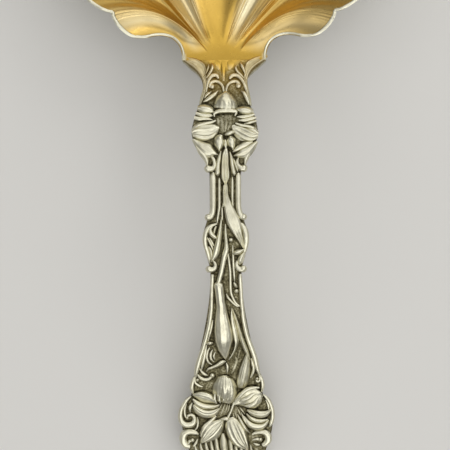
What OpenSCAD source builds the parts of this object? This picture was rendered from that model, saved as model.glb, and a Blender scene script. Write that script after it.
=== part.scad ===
// Berry spoon: a fluted, gilt-lined silver bowl on an arched handle with lily and scroll ornament.
// The bowl points to +Y, the handle to -Y and the open side up; z = 0 is the table it lies on.

/* [Bowl] */
// Length of the bowl from the shoulder line to its tip
bowl_length = 102; // [90:1:115]
// Width of the bowl, measured over fully swelled lobes
bowl_width = 88; // [78:1:98]
// Height of the rim over the inside of the bowl at its sides
bowl_depth = 14.5; // [11:0.5:18]
// How far each lobe of the rim swells past the notches beside it
scallop = 3; // [1.5:0.25:4]
// Height of the ridges between the flutes
flute_height = 1.6; // [0.6:0.1:2.4]
// Thickness of the silver sheet of the bowl
bowl_sheet = 1.1; // [0.8:0.1:2]
// Thickness of the gold layer inside the bowl
gilt_layer = 0.2; // [0.1:0.05:0.4]
// Width of the silver left bare along the rim
bare_rim = 0.9; // [0.5:0.1:2]
// Diameter of the worn flat that the bowl rests on
rest_flat = 16; // [10:1:24]

/* [Handle] */
// Length of the handle from the shoulder line to its end
handle_length = 110; // [95:1:125]
// Highest point of the handle's face above the heel of the bowl
arch_rise = 6.5; // [4:0.5:12]
// Slope of the handle where it leaves the bowl
heel_slope = 0.62; // [0.4:0.02:0.8]
// Thickness of the plate at the shoulder
neck_thickness = 3.2; // [2.4:0.1:4.2]
// Thickness of the plate at its end
end_thickness = 2.4; // [1.6:0.1:3.2]
// Width across the shoulders, where the handle meets the bowl
shoulder_width = 21; // [17:0.5:24]
// Width of the neck under the shoulders
neck_width = 10.7; // [9.5:0.1:12.5]
// Width at the small flower
crest_width = 16.5; // [15:0.25:19]
// Width of the upper stem
stem_width = 7.8; // [7.2:0.1:9]
// Width of the knop between the two stems
knop_width = 11.4; // [10.5:0.1:13]
// Width at the top of the lower stem
lower_stem_width = 7.8; // [7.2:0.1:9]
// Width where the lower stem has flared out above the large flower
flare_width = 16.4; // [15:0.2:18.5]
// Width at the large flower
lily_width = 23.2; // [21:0.2:26]
// Width just before the rounded end
end_width = 13; // [10:0.2:15]
// Length of the tongue under the heel of the bowl
drop_length = 12; // [8:0.5:14]
// Width of that tongue at the heel
drop_width = 9; // [6:0.5:12]

/* [Relief] */
// Height of the ornament at its highest
relief = 1.6; // [1:0.1:2.2]
// Height of the side wall of each ornament
edge_height = 0.25; // [0.15:0.05:0.4]
// Film of solder under each ornament
solder_gap = 0.04; // [0.02:0.01:0.08]

/* [Hidden] */

// The part is centred on its length
shoulder_y = (handle_length - bowl_length) / 2;

// Lobes of the rim: lobe 0 is at the tip and lobes 1 to 3 follow on each side towards the heel,
// where lobe 3 stops short and its last ray is the bowl's edge up from the shoulder.
// A ray is numbered across the lobes, and each entry is [ray, angle of its end at the rim from
// the handle's side, start across the heel, bend across, bend from the heel], as shares of
// the heel's half width and of the bowl's half width and half length.
rays = [
    [0, 180, 0, 0, 1.06],
    [0.5, 135, 0.06, 0.25, 0.68],
    [1.5, 80, 0.115, 0.405, 0.51],
    [2.5, 34.7, 0.24, 0.32, 0.35],
    [3.1, 23.6, 1, 0.235, 0.15]
];
edge_ray = rays[len(rays) - 1][0];
last_notch = rays[len(rays) - 2][0];
lobe_steps = [12, 8, 8, 6];
ray_steps = 14;
heel_run = 6;
rim_power = [2.6, 0.4];
dish_power = 2.4;
depth_power = 2.2;
flute_start = 0.06;
flute_full = 0.42;
flute_sharpness = 2.5;
// The inner flutes run a little to the left of the handle's line
flute_drift = bowl_width * 0.024;
drift_start = 0.05;
swell_power = 0.7;

half_across = bowl_width / 2 - scallop;
half_along = (bowl_length - heel_run - scallop) / 2;
bowl_middle = heel_run + half_along;

// Entry k of the ray table at any ray, by straight lines between its rows
function ray_value(a, k, i = 0) =
    i >= len(rays) - 2 || a <= rays[i + 1][0]
    ? rays[i][k] + (a - rays[i][0]) / (rays[i + 1][0] - rays[i][0]) * (rays[i + 1][k] - rays[i][k])
    : ray_value(a, k, i + 1);

// Place of a ray inside its lobe, from 0 to 1
function lobe_share(a) = a + 0.5 - floor(a + 0.5);

// Distance of the rim from the middle of the bowl, without and with the lobes
function rim_radius(angle) =
    let (p = rim_power[0] + rim_power[1] * cos(angle))
    pow(pow(abs(sin(angle)) / half_across, p) + pow(abs(cos(angle)) / half_along, p), -1 / p);
function lobed_radius(a) =
    rim_radius(ray_value(a, 1)) + scallop * pow(sin(180 * lobe_share(a)), swell_power);

// Start, bend and end of a ray in plan, as [across, from the shoulder line]
function ray_start(a) = [ray_value(a, 2) * shoulder_width / 2, 0];
function ray_bend(a) = [ray_value(a, 3) * bowl_width / 2, ray_value(a, 4) * half_along];
function ray_end(a) =
    let (angle = ray_value(a, 1))
    [0, bowl_middle] + lobed_radius(a) * [sin(angle), -cos(angle)];

// Point of the bowl in plan: s runs along a ray from the heel to the rim
function drift(ray, s) =
    flute_drift * pow(1 - pow(ray / edge_ray, 2), 2) * (1 - s) * (1 - exp(-s / drift_start));
function bowl_plan(a, s) =
    let (
        ray = abs(a),
        p = (1 - s) * (1 - s) * ray_start(ray) + 2 * s * (1 - s) * ray_bend(ray) + s * s * ray_end(ray)
    )
    [(a < 0 ? -p[0] : p[0]) - drift(ray, s), p[1]];

// Height of the dish without its flutes
floor_height = bowl_sheet + gilt_layer - bowl_depth * pow(rest_flat / 2 / half_across, depth_power);
function dish_height(p) =
    floor_height + bowl_depth * pow(
        pow(abs(p[0]) / half_across, dish_power) + pow(abs(p[1] - bowl_middle) / half_along, dish_power),
        depth_power / dish_power
    );
heel_height = dish_height([0, 0]);

function ease(t) = let (c = min(1, max(0, t))) c * c * (3 - 2 * c);
function flute(a, s) =
    flute_height * pow(abs(2 * lobe_share(a) - 1), flute_sharpness)
    * ease((s - flute_start) / (flute_full - flute_start));
function bowl_face(a, s) =
    let (p = bowl_plan(a, s))
    [p[0], p[1] + shoulder_y, dish_height(p) + flute(a, s)];
function lowered(p, by) = [p[0], p[1], p[2] - by];
function bowl_back(a, s) =
    let (p = bowl_face(a, s))
    [p[0], p[1], max(0, p[2] - gilt_layer - bowl_sheet)];

// Rays from one side of the heel round to the other, closer together where the lobes are small
half_rays = concat(
    [for (i = [0:lobe_steps[3] - 1]) edge_ray - (edge_ray - last_notch) * i / lobe_steps[3]],
    [
        for (lobe = [2:-1:0], i = [0:lobe_steps[lobe] / (lobe == 0 ? 2 : 1) - 1])
            lobe + 0.5 - i / lobe_steps[lobe]
    ]
);
bowl_rays = concat([for (a = half_rays) -a], [0], [for (i = [len(half_rays) - 1:-1:0]) half_rays[i]]);

// Steps along a ray: the last one is the bare rim
function rim_share(a) = let (ray = abs(a)) bare_rim / (2 * norm(ray_end(ray) - ray_bend(ray)));
function gilt_steps(a) = [for (j = [0:ray_steps - 1]) (1 - rim_share(a)) * j / (ray_steps - 1)];
function sheet_steps(a) = concat(gilt_steps(a), [1]);

// Drawn pattern of the handle: its stations are [distance from the shoulder line, width drawn,
// width now, slope of the edge], and the ornament is drawn in millimetres on the drawn widths
outline = [
    [0, 21, shoulder_width, -1.9],
    [6.5, 10.7, neck_width, 0],
    [18.3, 16.5, crest_width, 0],
    [29, 7.8, stem_width, 0],
    [37, 7.8, stem_width, 0],
    [44.8, 11.4, knop_width, 0],
    [53.5, 7.8, lower_stem_width, 0],
    [79, 16.4, flare_width, 0.25],
    [88.8, 23.2, lily_width, 0],
    [104, 13, end_width, -0.62],
    [110, 9, end_width - 4, -0.6]
];
drawn_length = outline[len(outline) - 1][0];
round_end = drawn_length * 0.053;
arch_place = drawn_length * 0.236;
blunt_end = 0.2;
plate_steps = 72;
end_slope = -0.05;

// Cubic between two values with a slope at each
function cubic(v0, v1, m0, m1, run, t) =
    let (t2 = t * t, t3 = t2 * t)
    (2 * t3 - 3 * t2 + 1) * v0 + (3 * t2 - 2 * t3) * v1
    + run * ((t3 - 2 * t2 + t) * m0 + (t3 - t2) * m1);

// Half width of the outline at a drawn distance, from column k of the stations
function outline_half(d, k, i = 0) =
    i >= len(outline) - 2 || d <= outline[i + 1][0]
    ? let (a = outline[i], b = outline[i + 1], run = b[0] - a[0])
        cubic(a[k] / 2, b[k] / 2, a[3], b[3], run, max(0, d - a[0]) / run)
    : outline_half(d, k, i + 1);
function rounding(d) =
    let (t = max(0, (d - drawn_length + round_end) / round_end))
    sqrt(max(0, 1 - t * t));
function plate_half(d) = max(blunt_end, outline_half(d, 2) * rounding(d));

// How much wider the handle is here than the drawn pattern
function widening(d) = outline_half(d, 2) / outline_half(d, 1);

// Height of the handle's face at a drawn distance
function face_height(d) =
    let (stretch = handle_length / drawn_length)
    d <= arch_place
    ? cubic(heel_height, heel_height + arch_rise, heel_slope, 0, arch_place * stretch, d / arch_place)
    : cubic(
        heel_height + arch_rise, end_thickness, 0, end_slope,
        (drawn_length - arch_place) * stretch, (d - arch_place) / (drawn_length - arch_place)
    );
function plate_thickness(d) = neck_thickness + (end_thickness - neck_thickness) * d / drawn_length;
function handle_y(d) = shoulder_y - d * handle_length / drawn_length;
function drawn_distance(y) = (shoulder_y - y) * drawn_length / handle_length;

// Smooth curve through a list of rows, at t from 0 to 1
function row_at(rows, i) = rows[max(0, min(len(rows) - 1, i))];
function along(rows, t) =
    let (
        spans = len(rows) - 1,
        f = min(t * spans, spans - 0.000001),
        i = floor(f),
        u = f - i,
        a = row_at(rows, i - 1),
        b = row_at(rows, i),
        c = row_at(rows, i + 1),
        e = row_at(rows, i + 2)
    )
    b + 0.5 * u * (c - a + u * (2 * a - 5 * b + 4 * c - e + u * (3 * (b - c) + e - a)));

// Faces of a tube of rings, with a flat cap on each end
function tube_faces(rings, n) = concat(
    [[for (k = [0:n - 1]) k]],
    [for (i = [0:rings - 2], k = [0:n - 1]) [i * n + k, (i + 1) * n + k, (i + 1) * n + (k + 1) % n]],
    [for (i = [0:rings - 2], k = [0:n - 1]) [i * n + k, (i + 1) * n + (k + 1) % n, i * n + (k + 1) % n]],
    [[for (k = [n - 1:-1:0]) (rings - 1) * n + k]]
);

// Closed shell between a grid of points and a grid of as many points under it
module shell(face, back) {
    rows = len(face);
    columns = len(face[0]);
    under = rows * columns;
    function at(i, j) = i * columns + j;
    function edge(p, q) = [[p, q, q + under], [p, q + under, p + under]];
    polyhedron(
        concat([for (r = face) each r], [for (r = back) each r]),
        concat(
            [for (i = [0:rows - 2], j = [0:columns - 2]) [at(i, j), at(i, j + 1), at(i + 1, j + 1)]],
            [for (i = [0:rows - 2], j = [0:columns - 2]) [at(i, j), at(i + 1, j + 1), at(i + 1, j)]],
            [for (i = [0:rows - 2], j = [0:columns - 2])
                [under + at(i, j), under + at(i + 1, j + 1), under + at(i, j + 1)]],
            [for (i = [0:rows - 2], j = [0:columns - 2])
                [under + at(i, j), under + at(i + 1, j), under + at(i + 1, j + 1)]],
            [for (i = [0:rows - 2]) each edge(at(i, 0), at(i + 1, 0))],
            [for (i = [0:rows - 2]) each edge(at(i + 1, columns - 1), at(i, columns - 1))],
            [for (j = [0:columns - 2]) each edge(at(0, j + 1), at(0, j))],
            [for (j = [0:columns - 2]) each edge(at(rows - 1, j), at(rows - 1, j + 1))]
        )
    );
}

// Leaf, petal, rail or scroll on the handle's face. Rows are [across, down, half width, height]
// along its middle, drawn in millimetres, with the height as a share of the relief.
function on_handle(row) = [row[0] * widening(row[1]), handle_y(row[1])];
function square_to(p, q) = let (v = q - p) [-v[1], v[0]] / norm(v);
function over_face(p, h) = [p[0], p[1], face_height(drawn_distance(p[1])) + solder_gap + h];
function blade_ring(rows, t, step, across, under) =
    let (
        row = along(rows, t),
        half = row[2] * widening(row[1]),
        before = on_handle(along(rows, max(0, t - step / 2))),
        after = on_handle(along(rows, min(1, t + step / 2))),
        side = square_to(before, after),
        middle = on_handle(row),
        crown = max(0, row[3] * relief - edge_height)
    )
    concat(
        [for (i = [0:across]) let (u = 2 * i / across - 1)
            over_face(middle + u * half * side, edge_height + crown * pow(max(0, 1 - u * u), 0.6))],
        [for (i = [under:-1:0]) let (u = 2 * i / under - 1)
            over_face(middle + u * half * side, 0)]
    );
module blade(rows, steps = 10, across = 4, under = 1) {
    points = [for (k = [0:steps]) each blade_ring(rows, k / steps, 1 / steps, across, under)];
    polyhedron(points, tube_faces(steps + 1, across + under + 2));
}

// The same drawing on the left (-1) or on the right (1) of the handle
function sided(rows, side) = [for (r = rows) [side * r[0], r[1], r[2], r[3]]];

// Silver bowl: a lobed and fluted sheet
module bowl() {
    color("silver") shell(
        [for (a = bowl_rays) [for (s = sheet_steps(a)) lowered(bowl_face(a, s), gilt_layer)]],
        [for (a = bowl_rays) [for (s = sheet_steps(a)) bowl_back(a, s)]]
    );
}

// Gold layer over the inside of the bowl, up to the bare rim
module gilt_lining() {
    inner_rays = [for (i = [1:len(bowl_rays) - 2]) bowl_rays[i]];
    color("goldenrod") shell(
        [for (a = inner_rays) [for (s = gilt_steps(a)) bowl_face(a, s)]],
        [for (a = inner_rays) [for (s = gilt_steps(a)) lowered(bowl_face(a, s), gilt_layer)]]
    );
}

// Tongue of the handle under the heel of the bowl, soldered to the back of the bowl
module heel_drop() {
    sections = 8;
    across = 6;
    thin = 0.5;
    deep = neck_thickness - bowl_sheet - gilt_layer;
    function half(t) = drop_width / 2 * sqrt(1 - 0.98 * t * t);
    function top(u, t) =
        let (p = [u * half(t), t * drop_length])
        [p[0], p[1] + shoulder_y, dish_height(p) - gilt_layer - bowl_sheet - solder_gap];
    function depth(u, t) = thin + (deep - thin) * (1 - t) * (1 - u * u);
    grid = [for (i = [0:across]) [for (j = [0:sections]) top(2 * i / across - 1, j / sections)]];
    color("silver") shell(grid, [
        for (i = [0:across]) [
            for (j = [0:sections]) lowered(grid[i][j], depth(2 * i / across - 1, j / sections))
        ]
    ]);
}

// Struck plate of the handle, which carries all the ornament
module handle_plate() {
    // Each corner of the section is [share of the half width, share of the thickness below the face]
    section = [
        [-1, 0.3], [-0.96, 0], [0.96, 0], [1, 0.3],
        [0.86, 0.78], [0.45, 1], [-0.45, 1], [-0.86, 0.78]
    ];
    function station(k) = let (t = k / plate_steps) drawn_length * (t + 0.06 * sin(180 * t) * t);
    function ring(d) = [
        for (c = section)
            [c[0] * plate_half(d), handle_y(d), face_height(d) - c[1] * plate_thickness(d)]
    ];
    color("silver") polyhedron(
        [for (k = [0:plate_steps]) each ring(min(drawn_length, station(k)))],
        tube_faces(plate_steps + 1, len(section))
    );
}

// Wing along the shoulder and down the edge of the neck
module crest_wing(side) {
    color("silver") blade(sided([
        [9, 0.55, 0.3, 0.35], [7.6, 1.35, 0.45, 0.5], [6.1, 2.7, 0.5, 0.55], [5.15, 4.6, 0.4, 0.5],
        [4.8, 6.6, 0.36, 0.45], [5.1, 9, 0.3, 0.4], [5.45, 10.4, 0.15, 0.3]
    ], side), steps = 14);
}

// Leaf of two points inside the wing
module crest_leaf(side) {
    color("silver") {
        blade(sided([
            [2.9, 1.2, 0.2, 0.35], [3.2, 2.3, 0.45, 0.55], [4, 3.4, 0.42, 0.55],
            [4.5, 4.3, 0.15, 0.3]
        ], side), steps = 8);
        blade(sided([
            [4.5, 0.9, 0.2, 0.3], [4.75, 1.7, 0.35, 0.45], [5, 2.6, 0.15, 0.3]
        ], side), steps = 6);
    }
}

// Outer scroll, inner scroll and the two small leaves under them
module crest_scroll(side) {
    color("silver") {
        blade(sided([
            [1.8, 4.2, 0.32, 0.5], [2.6, 3.75, 0.3, 0.5], [3.6, 4.3, 0.3, 0.5],
            [4.15, 5.4, 0.24, 0.45], [4.05, 6.3, 0.12, 0.3]
        ], side));
        blade(sided([
            [0.45, 7.7, 0.25, 0.45], [0.75, 6.6, 0.36, 0.6], [1.5, 5.75, 0.38, 0.65],
            [2.45, 5.35, 0.36, 0.6], [3.2, 5.75, 0.34, 0.55], [3.3, 6.5, 0.42, 0.6]
        ], side), steps = 14);
        blade(sided([
            [2.3, 8, 0.2, 0.35], [3.3, 9, 0.36, 0.5], [4.5, 9.9, 0.2, 0.35]
        ], side), steps = 6);
        blade(sided([
            [3.7, 7.6, 0.15, 0.3], [4.15, 8.2, 0.24, 0.4], [4.5, 8.9, 0.1, 0.3]
        ], side), steps = 6);
    }
}

module crest_tongue() {
    color("silver") blade([
        [0, 0.4, 0.8, 0.3], [0, 1.8, 0.6, 0.45], [0, 3.8, 0.35, 0.4], [0, 5.6, 0.12, 0.25]
    ], steps = 8);
}

module small_lily_hood() {
    color("silver") blade([
        [0, 8.35, 0.3, 0.4], [0, 9.3, 1.4, 0.75], [0, 10.8, 2.4, 0.95], [0, 12.1, 2.75, 1],
        [0, 12.9, 2.4, 0.85]
    ], across = 8, under = 2);
}

// Rolled upper petal and the fold under it
module small_lily_lobe(side) {
    color("silver") {
        blade(sided([
            [3.3, 12.75, 0.3, 0.4], [4.3, 12, 0.62, 0.7], [5.5, 12, 0.72, 0.75],
            [6.6, 12.9, 0.3, 0.4]
        ], side), across = 6);
        blade(sided([
            [3.3, 14, 0.2, 0.35], [4.6, 14.3, 0.38, 0.55], [6, 14, 0.38, 0.55], [7, 13.7, 0.2, 0.35]
        ], side), steps = 8);
    }
}

module small_lily_petal(side) {
    color("silver") blade(sided([
        [2.6, 16.2, 0.5, 0.45], [4.1, 17.2, 1.35, 0.75], [5.9, 18, 1.75, 0.8], [7.4, 18.6, 0.7, 0.5]
    ], side), across = 8, under = 2);
}

// Two pointed lobes of the lip and the curled tip over them
module small_lily_lip() {
    color("silver") {
        for (side = [-1, 1])
            blade(sided([
                [0.75, 19.4, 0.25, 0.4], [1.25, 20.3, 0.62, 0.6], [1.5, 21.3, 0.5, 0.5],
                [1.55, 22.2, 0.12, 0.3]
            ], side), steps = 8);
        blade([[0.3, 18.3, 0.25, 0.4], [1.2, 18.1, 0.4, 0.6], [2, 18.2, 0.2, 0.4]], steps = 6);
    }
}

// Leaf that closes the small flower below
module sheath(side) {
    color("silver") blade(sided([
        [7.2, 20.9, 0.3, 0.4], [6, 21.9, 0.75, 0.7], [4.5, 22.7, 0.8, 0.75], [3.1, 23.2, 0.5, 0.55],
        [2.35, 23.7, 0.15, 0.3]
    ], side), steps = 12, across = 6);
}

module sheath_hook(side) {
    color("silver") blade(sided([
        [3.1, 24.5, 0.2, 0.35], [2.75, 25.6, 0.3, 0.5], [3, 26.7, 0.36, 0.55],
        [3.9, 27.2, 0.42, 0.6], [4.5, 27.1, 0.3, 0.45]
    ], side), steps = 12);
}

// Drop of three ribs under the small flower
module pendant() {
    color("silver") {
        blade([
            [0, 22.9, 0.3, 0.4], [0, 25, 0.62, 0.65], [0, 27.6, 0.78, 0.75], [0, 29.6, 0.5, 0.6],
            [0, 30.8, 0.12, 0.3]
        ], across = 6);
        for (side = [-1, 1])
            blade(sided([
                [0.85, 23.4, 0.2, 0.35], [1.35, 25, 0.36, 0.5], [1.75, 27, 0.4, 0.55], [2, 28.3, 0.4, 0.5]
            ], side), steps = 8);
    }
}

// Edge rail of the upper stem with its turned-out foot, and the thin rib beside it
module upper_rail(side) {
    color("silver") {
        blade(sided([
            [3.1, 28.6, 0.4, 0.5], [3.15, 31, 0.55, 0.6], [3.15, 35, 0.55, 0.6], [3.3, 37.3, 0.5, 0.55],
            [3.9, 38.9, 0.5, 0.6], [4.1, 39.5, 0.35, 0.45]
        ], side), steps = 12);
        blade(sided([
            [1.6, 29.6, 0.15, 0.25], [1.65, 32, 0.2, 0.3], [1.65, 35.6, 0.15, 0.25]
        ], side), steps = 6);
    }
}

module long_leaf() {
    color("silver") blade([
        [0, 31.6, 0.2, 0.35], [0, 33.5, 0.45, 0.5], [0.1, 35.5, 0.5, 0.5], [0.55, 37.5, 0.75, 0.6],
        [1.3, 39.6, 1.2, 0.75], [2.35, 42, 1.35, 0.8], [3.3, 44.6, 0.95, 0.7], [3.9, 46.6, 0.15, 0.35]
    ], steps = 16, across = 6, under = 2);
}

module short_leaf() {
    color("silver") blade([
        [-0.75, 38, 0.15, 0.3], [-0.95, 40.5, 0.35, 0.5], [-1.35, 43.3, 0.6, 0.6], [-2, 46, 0.62, 0.6],
        [-2.8, 48.4, 0.35, 0.45], [-3.2, 49.5, 0.1, 0.3]
    ], steps = 12);
}

// Ear of the knop and the hook under it
module knop_frame(side) {
    color("silver") {
        blade(sided([
            [3.9, 41, 0.18, 0.4], [4.5, 42, 0.3, 0.55], [4.95, 43.3, 0.36, 0.6], [5.1, 45, 0.42, 0.6],
            [4.8, 46.9, 0.4, 0.55], [4.2, 48.7, 0.3, 0.45], [3.9, 49.7, 0.15, 0.3]
        ], side), steps = 14);
        blade(sided([
            [3.4, 50.3, 0.18, 0.35], [2.75, 50.9, 0.3, 0.5], [2.8, 51.9, 0.34, 0.55],
            [3.6, 52.4, 0.4, 0.6], [4.3, 52.3, 0.3, 0.45]
        ], side));
    }
}

// Stem of the bud and the thinner stem beside it
module flower_stems() {
    color("silver") {
        blade([
            [0.1, 43.4, 0.15, 0.3], [0.15, 45.5, 0.35, 0.45], [0, 47.5, 0.42, 0.5],
            [-0.5, 50.5, 0.45, 0.5], [-1.05, 53.3, 0.45, 0.5], [-1.4, 54.9, 0.3, 0.4]
        ], steps = 12);
        blade([
            [1, 48.2, 0.15, 0.3], [1, 50.5, 0.26, 0.4], [1.25, 53.5, 0.28, 0.4],
            [1.4, 57, 0.26, 0.4], [1.9, 59.3, 0.2, 0.35]
        ]);
    }
}

module lower_rail(side) {
    color("silver") blade(sided([
        [3.35, 53.9, 0.25, 0.4], [3.4, 56, 0.4, 0.5], [3.55, 60, 0.42, 0.5], [3.9, 64, 0.42, 0.5],
        [4.5, 68, 0.42, 0.5], [5.4, 71.5, 0.45, 0.5], [6.35, 75, 0.48, 0.5], [7, 78, 0.4, 0.5],
        [7.1, 79.2, 0.3, 0.4]
    ], side), steps = 18);
}

module lily_bud() {
    color("silver") blade([
        [-1.6, 55.6, 0.45, 0.5], [-1.4, 58.5, 1.05, 0.8], [-1, 62, 1.2, 0.9], [-0.7, 65.5, 1.65, 1],
        [-0.4, 69, 2.1, 1], [-0.15, 72.2, 1.45, 0.85], [0, 74.6, 0.15, 0.35]
    ], steps = 16, across = 8);
}

module slender_leaf() {
    color("silver") blade([
        [2.1, 61.9, 0.2, 0.4], [2.5, 64.5, 0.42, 0.55], [3, 67.5, 0.42, 0.55],
        [3.75, 70.5, 0.38, 0.5], [4.6, 73.3, 0.15, 0.35]
    ]);
}

module broad_leaf() {
    color("silver") blade([
        [5.1, 74.9, 0.2, 0.4], [4.9, 76.2, 0.7, 0.65], [4.35, 78, 0.95, 0.7], [3.85, 79.6, 0.5, 0.5]
    ], across = 6);
}

// Curl, pointed leaf and small scroll left of the bud
module tendril_left() {
    color("silver") {
        blade([
            [-3.9, 72.2, 0.2, 0.35], [-4.3, 73.6, 0.3, 0.45], [-4, 75, 0.28, 0.45],
            [-3, 75.6, 0.15, 0.3]
        ], steps = 8);
        blade([
            [-1.2, 76.1, 0.12, 0.3], [-2.6, 76.9, 0.3, 0.45], [-4.2, 77.6, 0.25, 0.4],
            [-5, 77.7, 0.12, 0.3]
        ], steps = 8);
        blade([
            [-6.1, 78.8, 0.15, 0.3], [-5.2, 79.3, 0.28, 0.4], [-4.1, 79.5, 0.3, 0.45],
            [-3.5, 79.2, 0.25, 0.4]
        ], steps = 8);
    }
}

// Coil by the thin stem and the bract under the tip of the bud
module tendril_right() {
    color("silver") {
        blade([[2.2, 56, 0.2, 0.35], [2.4, 56.9, 0.26, 0.45], [2.25, 57.9, 0.2, 0.35]], steps = 6);
        blade([
            [2.3, 72, 0.12, 0.3], [1.9, 73.4, 0.22, 0.4], [1.2, 74.6, 0.22, 0.4],
            [0.7, 75.6, 0.12, 0.3]
        ], steps = 8);
    }
}

module lily_top_petal() {
    color("silver") blade([
        [0, 79.5, 0.3, 0.4], [0, 80.8, 1.8, 0.85], [-0.05, 82.5, 2.6, 1], [-0.1, 84.2, 2.3, 0.95],
        [-0.1, 84.9, 1.8, 0.8]
    ], across = 8);
}

module lily_left_petal() {
    color("silver") blade([
        [-7.6, 84.2, 0.2, 0.4], [-6.2, 84.3, 0.85, 0.75], [-4.5, 84.7, 0.95, 0.8], [-3, 85.5, 0.35, 0.5]
    ], across = 6);
}

module lily_left_fold() {
    color("silver") blade([
        [-7, 86.7, 0.25, 0.4], [-5.6, 87.5, 0.55, 0.65], [-3.8, 88, 0.6, 0.65], [-2.2, 87.7, 0.2, 0.4]
    ], across = 6);
}

module lily_lower_left_petal() {
    color("silver") blade([
        [-1.2, 90.6, 0.3, 0.45], [-2.5, 91.9, 1.1, 0.8], [-3.9, 93.4, 1.45, 0.85], [-5.2, 94.9, 0.3, 0.45]
    ], across = 8);
}

module lily_lower_right_petal() {
    color("silver") blade([
        [1.3, 91, 0.4, 0.45], [2.3, 92.8, 1.3, 0.8], [3.5, 94.9, 1.45, 0.85], [4.7, 96.6, 0.3, 0.45]
    ], across = 8);
}

// Petal folded three times on itself
module lily_right_petal() {
    color("silver") {
        blade([
            [6.3, 88.3, 0.2, 0.4], [7.9, 89.1, 0.42, 0.6], [9.5, 89.1, 0.42, 0.6],
            [10.4, 88.7, 0.15, 0.4]
        ]);
        blade([
            [5.6, 89.5, 0.2, 0.4], [7.2, 90.5, 0.34, 0.55], [9.2, 90.7, 0.34, 0.55],
            [10.4, 90.2, 0.15, 0.35]
        ]);
        blade([
            [5, 90.6, 0.25, 0.4], [6.5, 92, 0.5, 0.65], [8.3, 92.3, 0.5, 0.65],
            [9.7, 91.7, 0.2, 0.4]
        ]);
    }
}

module lily_upper_right_petal() {
    color("silver") blade([
        [2.9, 85.7, 0.3, 0.45], [4.5, 84.9, 1.1, 0.8], [6.3, 84.2, 1.75, 0.9], [7.9, 83, 0.8, 0.6]
    ], across = 8);
}

module lily_pistil() {
    color("silver") blade([
        [1.4, 86.9, 0.2, 0.4], [1, 88.2, 0.28, 0.5], [0.4, 89.4, 0.3, 0.55], [0.1, 90.2, 0.35, 0.5]
    ], steps = 8);
}

module lily_stamens() {
    color("silver") {
        blade([[3, 88.2, 0.15, 0.3], [3.3, 89.4, 0.2, 0.4], [3.4, 90.4, 0.25, 0.45]], steps = 6);
        blade([[2.2, 87.6, 0.12, 0.3], [2.1, 88.9, 0.2, 0.4], [2.1, 90, 0.22, 0.45]], steps = 6);
        blade([[-0.9, 86.4, 0.12, 0.3], [-1.3, 87.4, 0.2, 0.4], [-1.5, 88.6, 0.2, 0.4]], steps = 6);
    }
}

module side_scroll_left() {
    color("silver") blade([
        [-8.9, 84.4, 0.2, 0.4], [-10.1, 86, 0.34, 0.5], [-10.9, 88, 0.4, 0.55], [-10.8, 89.9, 0.45, 0.6],
        [-9.9, 91.1, 0.45, 0.6], [-8.7, 90.9, 0.4, 0.55], [-8.3, 89.9, 0.35, 0.5]
    ], steps = 18);
}

module side_scroll_right() {
    color("silver") blade([
        [9.4, 84.6, 0.2, 0.4], [10.6, 86.2, 0.3, 0.5], [11.2, 88.2, 0.32, 0.5],
        [11.2, 90.2, 0.3, 0.5], [10.8, 91.4, 0.15, 0.35]
    ], steps = 12);
}

module end_scroll(side) {
    color("silver") blade(sided([
        [6.6, 94.4, 0.2, 0.4], [7.9, 93.55, 0.4, 0.55], [9.4, 93.6, 0.46, 0.6], [10.1, 94.7, 0.5, 0.6],
        [9.8, 96.1, 0.48, 0.6], [8.9, 96.8, 0.4, 0.55], [8.1, 96.2, 0.3, 0.5]
    ], side), steps = 18);
}

// Ribs that run together towards the end of the handle
module end_fan() {
    color("silver") for (k = [-3:3])
        blade([
            [1.9 * k, 98.2, 0.35, 0.4], [1.6 * k, 101, 0.5, 0.5], [k, 104.5, 0.32, 0.4],
            [0.55 * k, 107.2, 0.15, 0.3]
        ], steps = 8);
}

bowl();
gilt_lining();
heel_drop();
handle_plate();
crest_wing(-1);  // crest_wing_left
crest_wing(1);  // crest_wing_right
crest_leaf(-1);  // crest_leaf_left
crest_leaf(1);  // crest_leaf_right
crest_scroll(-1);  // crest_scroll_left
crest_scroll(1);  // crest_scroll_right
crest_tongue();
small_lily_hood();
small_lily_lobe(-1);  // small_lily_lobe_left
small_lily_lobe(1);  // small_lily_lobe_right
small_lily_petal(-1);  // small_lily_petal_left
small_lily_petal(1);  // small_lily_petal_right
small_lily_lip();
sheath(-1);  // sheath_left
sheath(1);  // sheath_right
sheath_hook(-1);  // sheath_hook_left
sheath_hook(1);  // sheath_hook_right
pendant();
upper_rail(-1);  // upper_rail_left
upper_rail(1);  // upper_rail_right
long_leaf();
short_leaf();
knop_frame(-1);  // knop_frame_left
knop_frame(1);  // knop_frame_right
flower_stems();
lower_rail(-1);  // lower_rail_left
lower_rail(1);  // lower_rail_right
lily_bud();
slender_leaf();
broad_leaf();
tendril_left();
tendril_right();
lily_top_petal();
lily_left_petal();
lily_left_fold();
lily_lower_left_petal();
lily_lower_right_petal();
lily_right_petal();
lily_upper_right_petal();
lily_pistil();
lily_stamens();
side_scroll_left();
side_scroll_right();
end_scroll(-1);  // end_scroll_left
end_scroll(1);  // end_scroll_right
end_fan();
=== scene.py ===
import math
import bpy
import numpy as np
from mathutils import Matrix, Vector
from mathutils.bvhtree import BVHTree


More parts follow.
